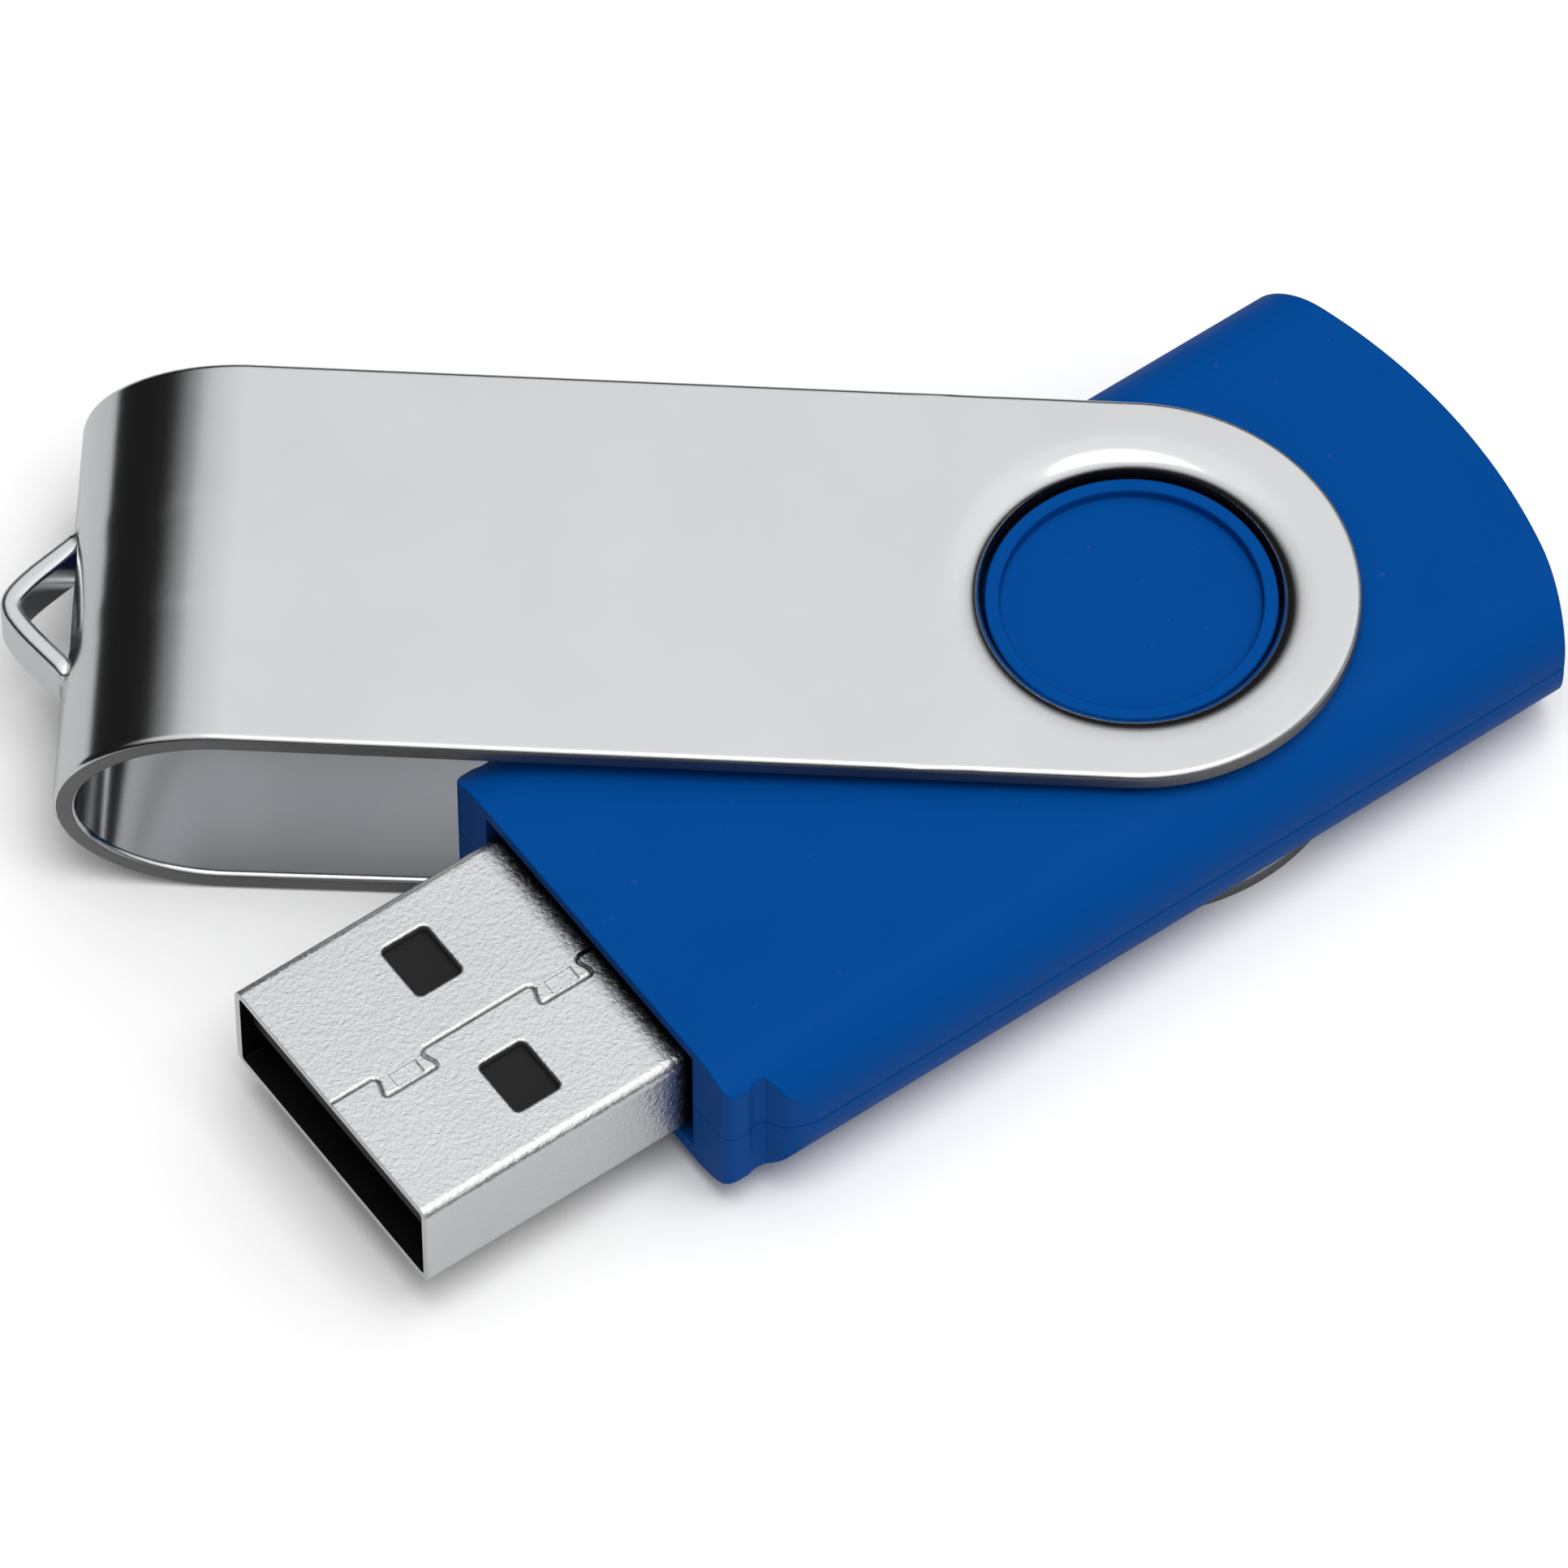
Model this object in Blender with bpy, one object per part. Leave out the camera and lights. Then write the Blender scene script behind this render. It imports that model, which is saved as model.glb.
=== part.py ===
"""Swivel-clip USB flash drive, as an assembly of separate pieces, in metres with +Z up.

The drive lies along X with its plug towards -X. A bent steel clip turns about a vertical axis through the
two round bosses of the case. The origin is the centre of the underside of the whole object's box.
"""
import math

import bmesh
import bpy

MM = 0.001

# The clip, one bent strip of steel. Its lower arm lies on z = 0 and its upper arm leans in a little.
CLIP_WIDTH = 16.84 * MM
SHEET = 0.85 * MM
BEND_REACH = 39.0 * MM
BEND_DEPTH = 6.3 * MM
HEIGHT_AT_BEND = 9.7 * MM
HEIGHT_AT_PIVOT = 9.1 * MM
CLIP_TURN = math.radians(-38.1)

# The rolled lip round each hole of the clip.
LIP_BORE = 5.45 * MM
LIP_ROLL = 1.0 * MM
LIP_DEPTH = 1.25 * MM
LIP_THINNING = 0.7

# The lanyard eye, a strip slit free of the bend and pushed outwards.
EYE_HEIGHT = 2.2 * MM
EYE_HALF_SPAN = 3.3 * MM
EYE_REACH = 2.45 * MM
EYE_THINNING = 0.7
EYE_BLUNTING = 0.12

# The case, two shells that meet at mid height.
CASE_FRONT = -24.3 * MM
CASE_REAR = 14.7 * MM
CASE_HALF_WIDTH = 9.62 * MM
CASE_BOTTOM = 1.0 * MM
CASE_TOP = 7.9 * MM
CASE_MID = (CASE_BOTTOM + CASE_TOP) / 2
PARTING_GAP = 0.1 * MM
SIDE_ROUNDING = 2.94 * MM
REAR_RADIUS = 24.4 * MM
SHOULDER_LENGTH = 2.9 * MM
SHOULDER_INSET = 1.05 * MM
FRONT_CORNER = 0.5 * MM
SCALLOP_RADIUS = 0.75 * MM
SCALLOP_BACK = 1.35 * MM
SCALLOP_OUT = 0.62 * MM
FLARE_RADIUS = 3.2 * MM
FLARE_BACK = 0.9 * MM
OUTLINE_MARGIN = 0.05 * MM
WALL = 1.4 * MM
CAVITY_HALF_WIDTH = 7.8 * MM
CAVITY_BOTTOM = 2.1 * MM
CAVITY_TOP = 6.8 * MM

# Pegs under the upper shell, and the posts with sockets in the lower shell that take them.
PEG_SPOTS = ((-20.5 * MM, 6.95 * MM), (11.5 * MM, 5.0 * MM))
PEG_RADIUS = 0.4 * MM
PEG_END = 3.2 * MM
POST_RADIUS = 0.8 * MM
SOCKET_RADIUS = 0.5 * MM
SOCKET_END = 2.9 * MM

# The pivot: a boss on each shell inside the clip's lip, and a groove for the lip round it.
BOSS_RADIUS = 5.3 * MM
BOSS_RISE = 0.25 * MM
DISC_RADIUS = 4.85 * MM
DISC_DROP = 0.5 * MM
GROOVE_RADIUS = 6.75 * MM
GROOVE_DEPTH = 0.7 * MM
PAD_RADIUS = 7.6 * MM
PAD_DEPTH = 1.6 * MM

# The plug, to the USB type A section.
PLUG_TIP = -35.65 * MM
PLUG_END = -18.9 * MM
PLUG_WIDTH = 12.0 * MM
PLUG_HEIGHT = 4.5 * MM
PLUG_MID = 4.6 * MM
PLUG_SHEET = 0.3 * MM
PLUG_CORNER = 0.45 * MM
WINDOW_LENGTH = 1.95 * MM
WINDOW_WIDTH = 2.45 * MM
WINDOW_FROM_TIP = 6.15 * MM
WINDOW_SPREAD = 3.05 * MM
PLUG_FIT = 0.15 * MM
TONGUE_HEIGHT = 1.9 * MM
TONGUE_SETBACK = 0.5 * MM
BLOCK_FRONT = -24.0 * MM
BLOCK_END = -18.4 * MM
CONTACT_SLOT = 0.3 * MM
CONTACT_SLOT_HALF_WIDTH = 4.2 * MM
CONTACT_THICKNESS = 0.2 * MM
CONTACT_HALF_WIDTH = 0.5 * MM
CONTACT_NOSE = 0.12 * MM
LEG_LENGTH = 2.3 * MM
LEG_OVERLAP = 0.4 * MM
LEG_HEIGHTS = (3.1 * MM, 4.5 * MM)

# The circuit board and what is soldered to it.
BOARD_FRONT = -18.2 * MM
BOARD_REAR = 10.4 * MM
BOARD_HALF_WIDTH = 7.2 * MM
BOARD_NECK_HALF_WIDTH = 5.4 * MM
BOARD_NECK_LENGTH = 2.6 * MM
BOARD_BOTTOM = 3.5 * MM
BOARD_TOP = 4.3 * MM
BOARD_CHAMFER = 1.2 * MM
SOLDER = 0.05 * MM
MEMORY_SIZE = (18.4 * MM, 12.0 * MM, 1.0 * MM)
MEMORY_LEADS = 12
MEMORY_LEAD_PITCH = 0.92 * MM
MEMORY_LEAD_HALF_WIDTH = 0.25 * MM
MEMORY_LEAD_REACH = (9.0 * MM, 9.95 * MM)
CONTROLLER_SIZE = (7.0 * MM, 7.0 * MM, 1.1 * MM)
CONTROLLER_LEADS = 6
CONTROLLER_LEAD_PITCH = 1.0 * MM
CONTROLLER_LEAD_HALF_WIDTH = 0.2 * MM
CONTROLLER_LEAD_REACH = 4.3 * MM
MOULD_DRAFT = 0.06 * MM

# Round shapes.
RING_STEPS = 48
BEND_STEPS = 16
ARC_STEPS = 9

# Where the swivel axis stands, so that the whole object's box is centred on the origin.
COS_TURN = math.cos(-CLIP_TURN)
SIN_TURN = math.sin(-CLIP_TURN)
PIVOT_X = (BEND_REACH * COS_TURN + CLIP_WIDTH / 2 * SIN_TURN - CASE_REAR) / 2
PIVOT_Y = (CASE_HALF_WIDTH - BEND_REACH * SIN_TURN - CLIP_WIDTH / 2 * COS_TURN) / 2


# ---------------------------------------------------------------- materials

def principled(name, colour, roughness, metallic):
    material = bpy.data.materials.new(name)
    material.use_nodes = True
    shader = material.node_tree.nodes["Principled BSDF"]
    shader.inputs["Base Color"].default_value = (*colour, 1.0)
    shader.inputs["Roughness"].default_value = roughness
    shader.inputs["Metallic"].default_value = metallic
    return material


def make_materials():
    return {
        "clip_steel": principled("clip_steel", (0.62, 0.63, 0.64), 0.28, 1.0),
        "case_blue": principled("case_blue", (0.0, 0.055, 0.27), 0.45, 0.0),
        "plug_steel": principled("plug_steel", (0.6, 0.61, 0.62), 0.35, 1.0),
        "insulator_black": principled("insulator_black", (0.012, 0.012, 0.014), 0.5, 0.0),
        "contact_gold": principled("contact_gold", (0.83, 0.6, 0.26), 0.25, 1.0),
        "board_green": principled("board_green", (0.01, 0.14, 0.06), 0.4, 0.0),
        "chip_black": principled("chip_black", (0.02, 0.02, 0.022), 0.55, 0.0),
        "crystal_can": principled("crystal_can", (0.66, 0.64, 0.58), 0.3, 1.0),
        "led_lens": principled("led_lens", (0.75, 0.78, 0.8), 0.2, 0.0),
        "capacitor_tan": principled("capacitor_tan", (0.35, 0.22, 0.12), 0.5, 0.0),
        "resistor_black": principled("resistor_black", (0.03, 0.03, 0.035), 0.45, 0.0),
    }


# ---------------------------------------------------------------- mesh helpers

def object_from(name, shape, material=None, parent=None):
    mesh = bpy.data.meshes.new(name)
    bmesh.ops.recalc_face_normals(shape, faces=shape.faces)
    shape.to_mesh(mesh)
    shape.free()
    piece = bpy.data.objects.new(name, mesh)
    bpy.context.collection.objects.link(piece)
    if material:
        mesh.materials.append(material)
    if parent:
        piece.parent = parent
    return piece


def loft(rings):
    """A closed body through rings of points, capped at both ends."""
    shape = bmesh.new()
    loops = [[shape.verts.new(point) for point in ring] for ring in rings]
    count = len(loops[0])
    for lower, upper in zip(loops, loops[1:]):
        for i in range(count):
            j = (i + 1) % count
            shape.faces.new((lower[i], lower[j], upper[j], upper[i]))
    shape.faces.new(reversed(loops[0]))
    shape.faces.new(loops[-1])
    return shape


def prism(outline, low, high):
    """An outline in plan, raised from low to high."""
    return loft([[(x, y, z) for x, y in outline] for z in (low, high)])


def slab(x_span, y_span, z_span):
    (x0, x1), (y0, y1), (z0, z1) = x_span, y_span, z_span
    return prism([(x0, y0), (x1, y0), (x1, y1), (x0, y1)], z0, z1)


def circle(radius, steps=RING_STEPS, centre=(0.0, 0.0)):
    angles = [math.tau * i / steps for i in range(steps)]
    return [(centre[0] + radius * math.cos(a), centre[1] + radius * math.sin(a)) for a in angles]


def arc(centre, radius, start, end, steps=ARC_STEPS):
    angles = [start + (end - start) * i / steps for i in range(steps + 1)]
    return [(centre[0] + radius * math.cos(a), centre[1] + radius * math.sin(a)) for a in angles]


def ring(inner, outer, low, high):
    """A round washer shape."""
    shape = bmesh.new()
    corners = [(inner, low), (outer, low), (outer, high), (inner, high)]
    loops = [[shape.verts.new((x, y, z)) for x, y in circle(radius)] for radius, z in corners]
    for i in range(4):
        first, second = loops[i], loops[(i + 1) % 4]
        for j in range(RING_STEPS):
            k = (j + 1) % RING_STEPS
            shape.faces.new((first[j], first[k], second[k], second[j]))
    return shape


def combine(piece, shape, operation, label):
    """Join to, cut from or intersect a piece with a helper body, which stays hidden."""
    helper = object_from(piece.name + "_" + label, shape, parent=piece)
    helper.hide_render = True
    helper.display_type = "WIRE"
    step = piece.modifiers.new(label, "BOOLEAN")
    step.operation = operation
    step.solver = "EXACT"
    step.object = helper


# ---------------------------------------------------------------- swivel clip

def clip_rows():
    """Distances across the clip of the lines that run along it, from one edge to the other."""
    half = CLIP_WIDTH / 2
    eye = EYE_HALF_SPAN
    side = [half, half - (half - eye) * 0.33, half - (half - eye) * 0.67]
    middle = [eye, eye * 0.5, eye * 0.2]
    above = side + middle
    return [-y for y in above] + [0.0] + above[::-1]


def collar_outline():
    """The points round the pivot end of an arm: a half circle, then three sides of a square."""
    half = CLIP_WIDTH / 2
    rows = clip_rows()
    corner_steps = (RING_STEPS // 2 - len(rows) + 1) // 2
    points = arc((0.0, 0.0), half, -math.pi / 2, math.pi / 2, RING_STEPS // 2)
    points += [(-half * i / corner_steps, half) for i in range(1, corner_steps)]
    points += [(-half, y) for y in reversed(rows)]
    points += [(-half * (1 - i / corner_steps), -half) for i in range(1, corner_steps)]
    return points


def lip_profile():
    """Radius and depth of the lip's outer surface, from the bore's end up to the flat arm."""
    roll = LIP_BORE + LIP_ROLL
    curve = [(math.pi - math.pi / 2 * i / 5) for i in range(6)]
    points = [(LIP_BORE, LIP_DEPTH)]
    points += [(roll + LIP_ROLL * math.cos(a), LIP_ROLL - LIP_ROLL * math.sin(a)) for a in curve]
    return points


def arm_surface(shape, height, slope, inward):
    """One arm's outer surface round the pivot. Returns the line of points that leads to the bend."""
    outline = collar_outline()
    loops = []
    for radius, depth in lip_profile():
        loop = []
        for x, y in outline:
            scale = radius / math.hypot(x, y)
            loop.append(shape.verts.new((x * scale, y * scale, height - slope * x * scale + inward * depth)))
        loops.append(loop)
    loops.append([shape.verts.new((x, y, height - slope * x)) for x, y in outline])
    for inner, outer in zip(loops, loops[1:]):
        for i in range(len(outline)):
            j = (i + 1) % len(outline)
            shape.faces.new((inner[i], outer[i], outer[j], inner[j]))
    edge = [vert for vert in loops[-1] if abs(vert.co.x + CLIP_WIDTH / 2) < 0.001 * MM]
    return sorted(edge, key=lambda vert: vert.co.y), [v for loop in loops[:4] for v in loop]


def bend_profile():
    """X and Z along the outside of the bend, from the upper arm round to the lower arm."""
    centre = BEND_DEPTH - BEND_REACH
    middle = HEIGHT_AT_BEND / 2
    eye_angle = math.asin(EYE_HEIGHT / HEIGHT_AT_BEND)
    steps = BEND_STEPS // 2
    outer = [math.pi / 2 + (math.pi / 2 - eye_angle) * i / steps for i in range(steps + 1)]
    angles = outer + [math.pi] + [math.tau - a for a in reversed(outer)]
    return [(centre + BEND_DEPTH * math.cos(a), middle + middle * math.sin(a)) for a in angles]


def eye_bulge(y):
    """How far the eye's strip stands off the bend at a distance y across it: a V with a blunt tip."""
    straight = 1.0 - abs(y) / EYE_HALF_SPAN
    return EYE_REACH * min(1.0, straight / (1.0 - EYE_BLUNTING))


def bend_surface(shape, upper_edge, lower_edge):
    """The strip between the two arms, with the eye's strip slit free of it. Returns the eye's points."""
    rows = [upper_edge]
    rows += [[shape.verts.new((x, vert.co.y, z)) for vert in upper_edge] for x, z in bend_profile()]
    rows.append(lower_edge)
    first = 1 + BEND_STEPS // 2
    inside = [i for i, vert in enumerate(upper_edge) if abs(vert.co.y) < EYE_HALF_SPAN - 0.001 * MM]
    eye_rows = []
    for row in rows[first:first + 3]:
        strip = list(row)
        for i in inside:
            y, z = row[i].co.yz
            strip[i] = shape.verts.new((-BEND_REACH - eye_bulge(y), y, z))
        eye_rows.append(strip)
    for i in inside:
        shape.verts.remove(rows[first + 1][i])
    for n, (above, below) in enumerate(zip(rows, rows[1:])):
        slit = n in (first, first + 1)
        if slit:
            above, below = eye_rows[n - first], eye_rows[n - first + 1]
        for i in range(len(above) - 1):
            outside = i + 1 not in inside and i not in inside
            if slit and outside:
                source = rows[n], rows[n + 1]
                shape.faces.new((source[0][i], source[0][i + 1], source[1][i + 1], source[1][i]))
            else:
                shape.faces.new((above[i], above[i + 1], below[i + 1], below[i]))
    return [row[i] for row in eye_rows for i in inside]


def make_clip(material, parent):
    slope = (HEIGHT_AT_BEND - HEIGHT_AT_PIVOT) / (BEND_REACH - BEND_DEPTH)
    shape = bmesh.new()
    upper_edge, upper_lip = arm_surface(shape, HEIGHT_AT_PIVOT, slope, -1)
    lower_edge, lower_lip = arm_surface(shape, 0.0, 0.0, 1)
    eye = bend_surface(shape, upper_edge, lower_edge)
    shape.verts.index_update()
    lips = [vert.index for vert in upper_lip + lower_lip]
    eyes = [vert.index for vert in eye]
    clip = object_from("swivel_clip", shape, material, parent)
    # The sheet grows inwards from the modelled surface, so that surface must face outwards.
    if clip.data.polygons[0].normal.z < 0:
        clip.data.flip_normals()
    weights = clip.vertex_groups.new(name="sheet")
    weights.add(range(len(clip.data.vertices)), 1.0, "REPLACE")
    weights.add(lips, LIP_THINNING, "REPLACE")
    weights.add(eyes, EYE_THINNING, "REPLACE")
    sheet = clip.modifiers.new("sheet", "SOLIDIFY")
    sheet.thickness = SHEET
    sheet.offset = -1.0
    sheet.use_even_offset = True
    sheet.vertex_group = "sheet"
    clip.rotation_euler.z = CLIP_TURN
    return clip


# ---------------------------------------------------------------- case

def side_line():
    """One side of the case in plan, from the front face back to the full width."""
    full = CASE_HALF_WIDTH
    front = full - SHOULDER_INSET
    corner = FRONT_CORNER
    scallop = (CASE_FRONT + SCALLOP_BACK, front + SCALLOP_OUT)
    points = arc((CASE_FRONT + corner, front - corner), corner, math.pi, math.pi / 2, 4)
    points += arc(scallop, SCALLOP_RADIUS, math.radians(236), math.radians(296), 4)
    flare = (CASE_FRONT + SHOULDER_LENGTH + FLARE_BACK, full + OUTLINE_MARGIN - FLARE_RADIUS)
    points += arc(flare, FLARE_RADIUS, math.radians(122), math.radians(90), 5)
    return points


def case_outline(inset=0.0):
    """The case in plan. A positive inset gives the cavity's plain outline."""
    half = CAVITY_HALF_WIDTH if inset else CASE_HALF_WIDTH + OUTLINE_MARGIN
    radius = REAR_RADIUS - inset
    centre = CASE_REAR - REAR_RADIUS
    end = math.asin(half / radius)
    rear = arc((centre, 0.0), radius, -end, end, 20)
    if inset:
        return [(CASE_FRONT + inset, -half)] + rear + [(CASE_FRONT + inset, half)]
    side = side_line()
    return [(x, -y) for x, y in side] + rear + side[::-1]


def half_section(direction):
    """Half of the case's section across X: (y, z) points, upper for +1 and lower for -1."""
    half_height = (CASE_TOP - CASE_BOTTOM) / 2
    parting = PARTING_GAP / 2
    middle = CASE_HALF_WIDTH - SIDE_ROUNDING
    lift = half_height - SIDE_ROUNDING
    right = arc((middle, lift), SIDE_ROUNDING, 0.0, math.pi / 2, 8)
    points = [(CASE_HALF_WIDTH, parting)] + right + [(-y, z) for y, z in reversed(right)]
    points.append((-CASE_HALF_WIDTH, parting))
    return [(y, CASE_MID + direction * z) for y, z in points]


def peg_places():
    return [(x, side * y) for x, y in PEG_SPOTS for side in (-1, 1)]


def make_case_shell(name, direction, material, parent):
    """One shell: +1 makes the upper one with pegs, -1 the lower one with sockets and board posts."""
    outer = CASE_TOP if direction > 0 else CASE_BOTTOM
    roof = CAVITY_TOP if direction > 0 else CAVITY_BOTTOM
    section = half_section(direction)
    body = loft([[(x, y, z) for y, z in section] for x in (CASE_FRONT - MM, CASE_REAR + MM)])
    shell = object_from(name, body, material, parent)
    combine(shell, prism(case_outline(), -MM, 12 * MM), "INTERSECT", "outline")

    def span(first, second):
        return min(first, second), max(first, second)

    def upright(outline, first, second):
        return prism(outline, *span(first, second))

    combine(shell, upright(case_outline(WALL), CASE_MID - direction * MM, roof), "DIFFERENCE", "cavity")
    pad_end = outer - direction * PAD_DEPTH
    combine(shell, upright(circle(PAD_RADIUS), outer - direction * 0.6 * MM, pad_end), "UNION", "pad")
    groove_floor = outer - direction * GROOVE_DEPTH
    groove = ring(BOSS_RADIUS, GROOVE_RADIUS, *span(groove_floor, outer + direction * MM))
    combine(shell, groove, "DIFFERENCE", "groove")
    boss_face = outer + direction * BOSS_RISE
    boss = upright(circle(BOSS_RADIUS), groove_floor - direction * 0.2 * MM, boss_face)
    combine(shell, boss, "UNION", "boss")
    disc = upright(circle(DISC_RADIUS), boss_face - direction * DISC_DROP, boss_face + direction * MM)
    combine(shell, disc, "DIFFERENCE", "disc")
    pocket_half = PLUG_WIDTH / 2 + PLUG_FIT
    pocket_end = PLUG_MID + direction * (PLUG_HEIGHT / 2 + PLUG_FIT)
    pocket = slab((CASE_FRONT - MM, PLUG_END + 0.3 * MM), (-pocket_half, pocket_half),
                  span(CASE_MID - direction * MM, pocket_end))
    combine(shell, pocket, "DIFFERENCE", "plug_pocket")
    for number, place in enumerate(peg_places()):
        if direction > 0:
            peg = prism(circle(PEG_RADIUS, 12, place), PEG_END, CAVITY_TOP + 0.2 * MM)
            combine(shell, peg, "UNION", f"peg_{number}")
        else:
            post = prism(circle(POST_RADIUS, 16, place), CAVITY_BOTTOM - 0.2 * MM, CASE_MID - 0.2 * MM)
            socket = prism(circle(SOCKET_RADIUS, 12, place), SOCKET_END, CASE_MID)
            combine(shell, post, "UNION", f"post_{number}")
            combine(shell, socket, "DIFFERENCE", f"socket_{number}")
    return shell


# ---------------------------------------------------------------- plug

def rounded_section(half_width, half_height, corner):
    """(y, z) points of a rectangle with round corners."""
    points = []
    for quarter, (sy, sz) in enumerate(((1, 1), (-1, 1), (-1, -1), (1, -1))):
        centre = (sy * (half_width - corner), sz * (half_height - corner))
        points += arc(centre, corner, quarter * math.pi / 2, (quarter + 1) * math.pi / 2, 4)
    return points


def tube(half_width, half_height, corner, wall, start, end):
    """A square tube along X with round corners."""
    shape = bmesh.new()
    outer = rounded_section(half_width, half_height, corner)
    inner = rounded_section(half_width - wall, half_height - wall, corner - wall)
    loops = []
    for section, x in ((outer, start), (outer, end), (inner, end), (inner, start)):
        loops.append([shape.verts.new((x, y, PLUG_MID + z)) for y, z in section])
    for i in range(4):
        first, second = loops[i], loops[(i + 1) % 4]
        for j in range(len(outer)):
            k = (j + 1) % len(outer)
            shape.faces.new((first[j], first[k], second[k], second[j]))
    return shape


def make_plug_shell(material, parent):
    body = tube(PLUG_WIDTH / 2, PLUG_HEIGHT / 2, PLUG_CORNER, PLUG_SHEET, PLUG_TIP, PLUG_END)
    shell = object_from("plug_shell", body, material, parent)
    middle = PLUG_TIP + WINDOW_FROM_TIP
    for number, side in enumerate((-1, 1)):
        y = side * WINDOW_SPREAD
        opening = slab((middle - WINDOW_LENGTH / 2, middle + WINDOW_LENGTH / 2),
                       (y - WINDOW_WIDTH / 2, y + WINDOW_WIDTH / 2),
                       (PLUG_MID - PLUG_HEIGHT, PLUG_MID + PLUG_HEIGHT))
        combine(shell, opening, "DIFFERENCE", f"windows_{number}")
        outer = side * PLUG_WIDTH / 2
        inner = outer - side * PLUG_SHEET
        leg = slab((PLUG_END - LEG_OVERLAP, PLUG_END + LEG_LENGTH), (min(outer, inner), max(outer, inner)),
                   LEG_HEIGHTS)
        combine(shell, leg, "UNION", f"leg_{number}")
    return shell


def tongue_span():
    top = PLUG_MID + PLUG_HEIGHT / 2 - PLUG_SHEET - SOLDER
    return top - TONGUE_HEIGHT, top


def make_insulator(material, parent):
    tongue_low, tongue_top = tongue_span()
    half = PLUG_WIDTH / 2 - PLUG_SHEET - 0.1 * MM
    tongue = slab((PLUG_TIP + TONGUE_SETBACK, BLOCK_END), (-half, half), (tongue_low, tongue_top))
    insulator = object_from("plug_insulator", tongue, material, parent)
    block_low = PLUG_MID - PLUG_HEIGHT / 2 + PLUG_SHEET + SOLDER
    block = slab((BLOCK_FRONT, BLOCK_END - 0.1 * MM), (-half + SOLDER, half - SOLDER),
                 (block_low, tongue_low + 0.4 * MM))
    combine(insulator, block, "UNION", "block")
    slot = slab((BLOCK_FRONT - MM, BLOCK_END + MM), (-CONTACT_SLOT_HALF_WIDTH, CONTACT_SLOT_HALF_WIDTH),
                (tongue_low - CONTACT_SLOT, tongue_low + 0.01 * MM))
    combine(insulator, slot, "DIFFERENCE", "contact_slot")
    return insulator


def make_contacts(material, parent):
    """Four flat contacts under the tongue, the outer two wider spaced and reaching further forward."""
    tongue_low, _ = tongue_span()
    top = tongue_low - 0.02 * MM
    half = CONTACT_HALF_WIDTH
    for number, (y, setback) in enumerate(((-3.5, 1.3), (-1.0, 2.3), (1.0, 2.3), (3.5, 1.3)), start=1):
        front = PLUG_TIP + setback * MM
        rings = []
        for x, drop in ((front, CONTACT_NOSE), (front + 0.5 * MM, 0.0), (BOARD_FRONT + 1.4 * MM, 0.0)):
            low = top - CONTACT_THICKNESS + drop
            left, right = y * MM - half, y * MM + half
            rings.append([(x, left, low), (x, right, low), (x, right, top), (x, left, top)])
        object_from(f"plug_contact_{number}", loft(rings), material, parent)


# ---------------------------------------------------------------- electronics

def make_board(material, parent):
    neck = BOARD_FRONT + BOARD_NECK_LENGTH
    half = BOARD_HALF_WIDTH
    side = [(BOARD_FRONT, BOARD_NECK_HALF_WIDTH), (neck, BOARD_NECK_HALF_WIDTH), (neck, half),
            (BOARD_REAR - BOARD_CHAMFER, half), (BOARD_REAR, half - BOARD_CHAMFER)]
    outline = [(x, -y) for x, y in side] + side[::-1]
    return object_from("circuit_board", prism(outline, BOARD_BOTTOM, BOARD_TOP), material, parent)


def moulded_body(size, base, upward):
    """A moulded chip package: two lofted halves that lean in from the lead plane."""
    length, width, height = size
    rings = []
    for step, inset in ((0.0, MOULD_DRAFT), (0.5, 0.0), (1.0, MOULD_DRAFT)):
        x = length / 2 - inset
        y = width / 2 - inset
        z = base + upward * height * step
        rings.append([(-x, -y, z), (x, -y, z), (x, y, z), (-x, y, z)])
    return loft(rings)


def make_flash_memory(material, parent):
    """Thin package with a row of leads at each short end."""
    base = BOARD_TOP + 2 * SOLDER
    body = moulded_body(MEMORY_SIZE, base, 1)
    chip = object_from("flash_memory", body, material, parent)
    chip.location.x = 0.4 * MM
    for side in (-1, 1):
        for number in range(MEMORY_LEADS):
            y = (number - (MEMORY_LEADS - 1) / 2) * MEMORY_LEAD_PITCH
            ends = sorted(side * reach for reach in MEMORY_LEAD_REACH)
            strip = (y - MEMORY_LEAD_HALF_WIDTH, y + MEMORY_LEAD_HALF_WIDTH)
            lead = slab(ends, strip, (base + 0.3 * MM, base + 0.55 * MM))
            combine(chip, lead, "UNION", f"lead_{side + 1}_{number}")
    return chip


def make_controller(material, parent):
    """Square package under the board with leads on its four sides."""
    base = BOARD_BOTTOM - 2 * SOLDER
    body = moulded_body(CONTROLLER_SIZE, base, -1)
    chip = object_from("controller_chip", body, material, parent)
    chip.location = (-12.6 * MM, 0.0, 0.0)
    height = (base - 0.55 * MM, base - 0.35 * MM)
    across = (-CONTROLLER_LEAD_REACH, CONTROLLER_LEAD_REACH)
    for number in range(CONTROLLER_LEADS):
        offset = (number - (CONTROLLER_LEADS - 1) / 2) * CONTROLLER_LEAD_PITCH
        strip = (offset - CONTROLLER_LEAD_HALF_WIDTH, offset + CONTROLLER_LEAD_HALF_WIDTH)
        combine(chip, slab(across, strip, height), "UNION", f"lead_x_{number}")
        combine(chip, slab(strip, across, height), "UNION", f"lead_y_{number}")
    return chip


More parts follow.
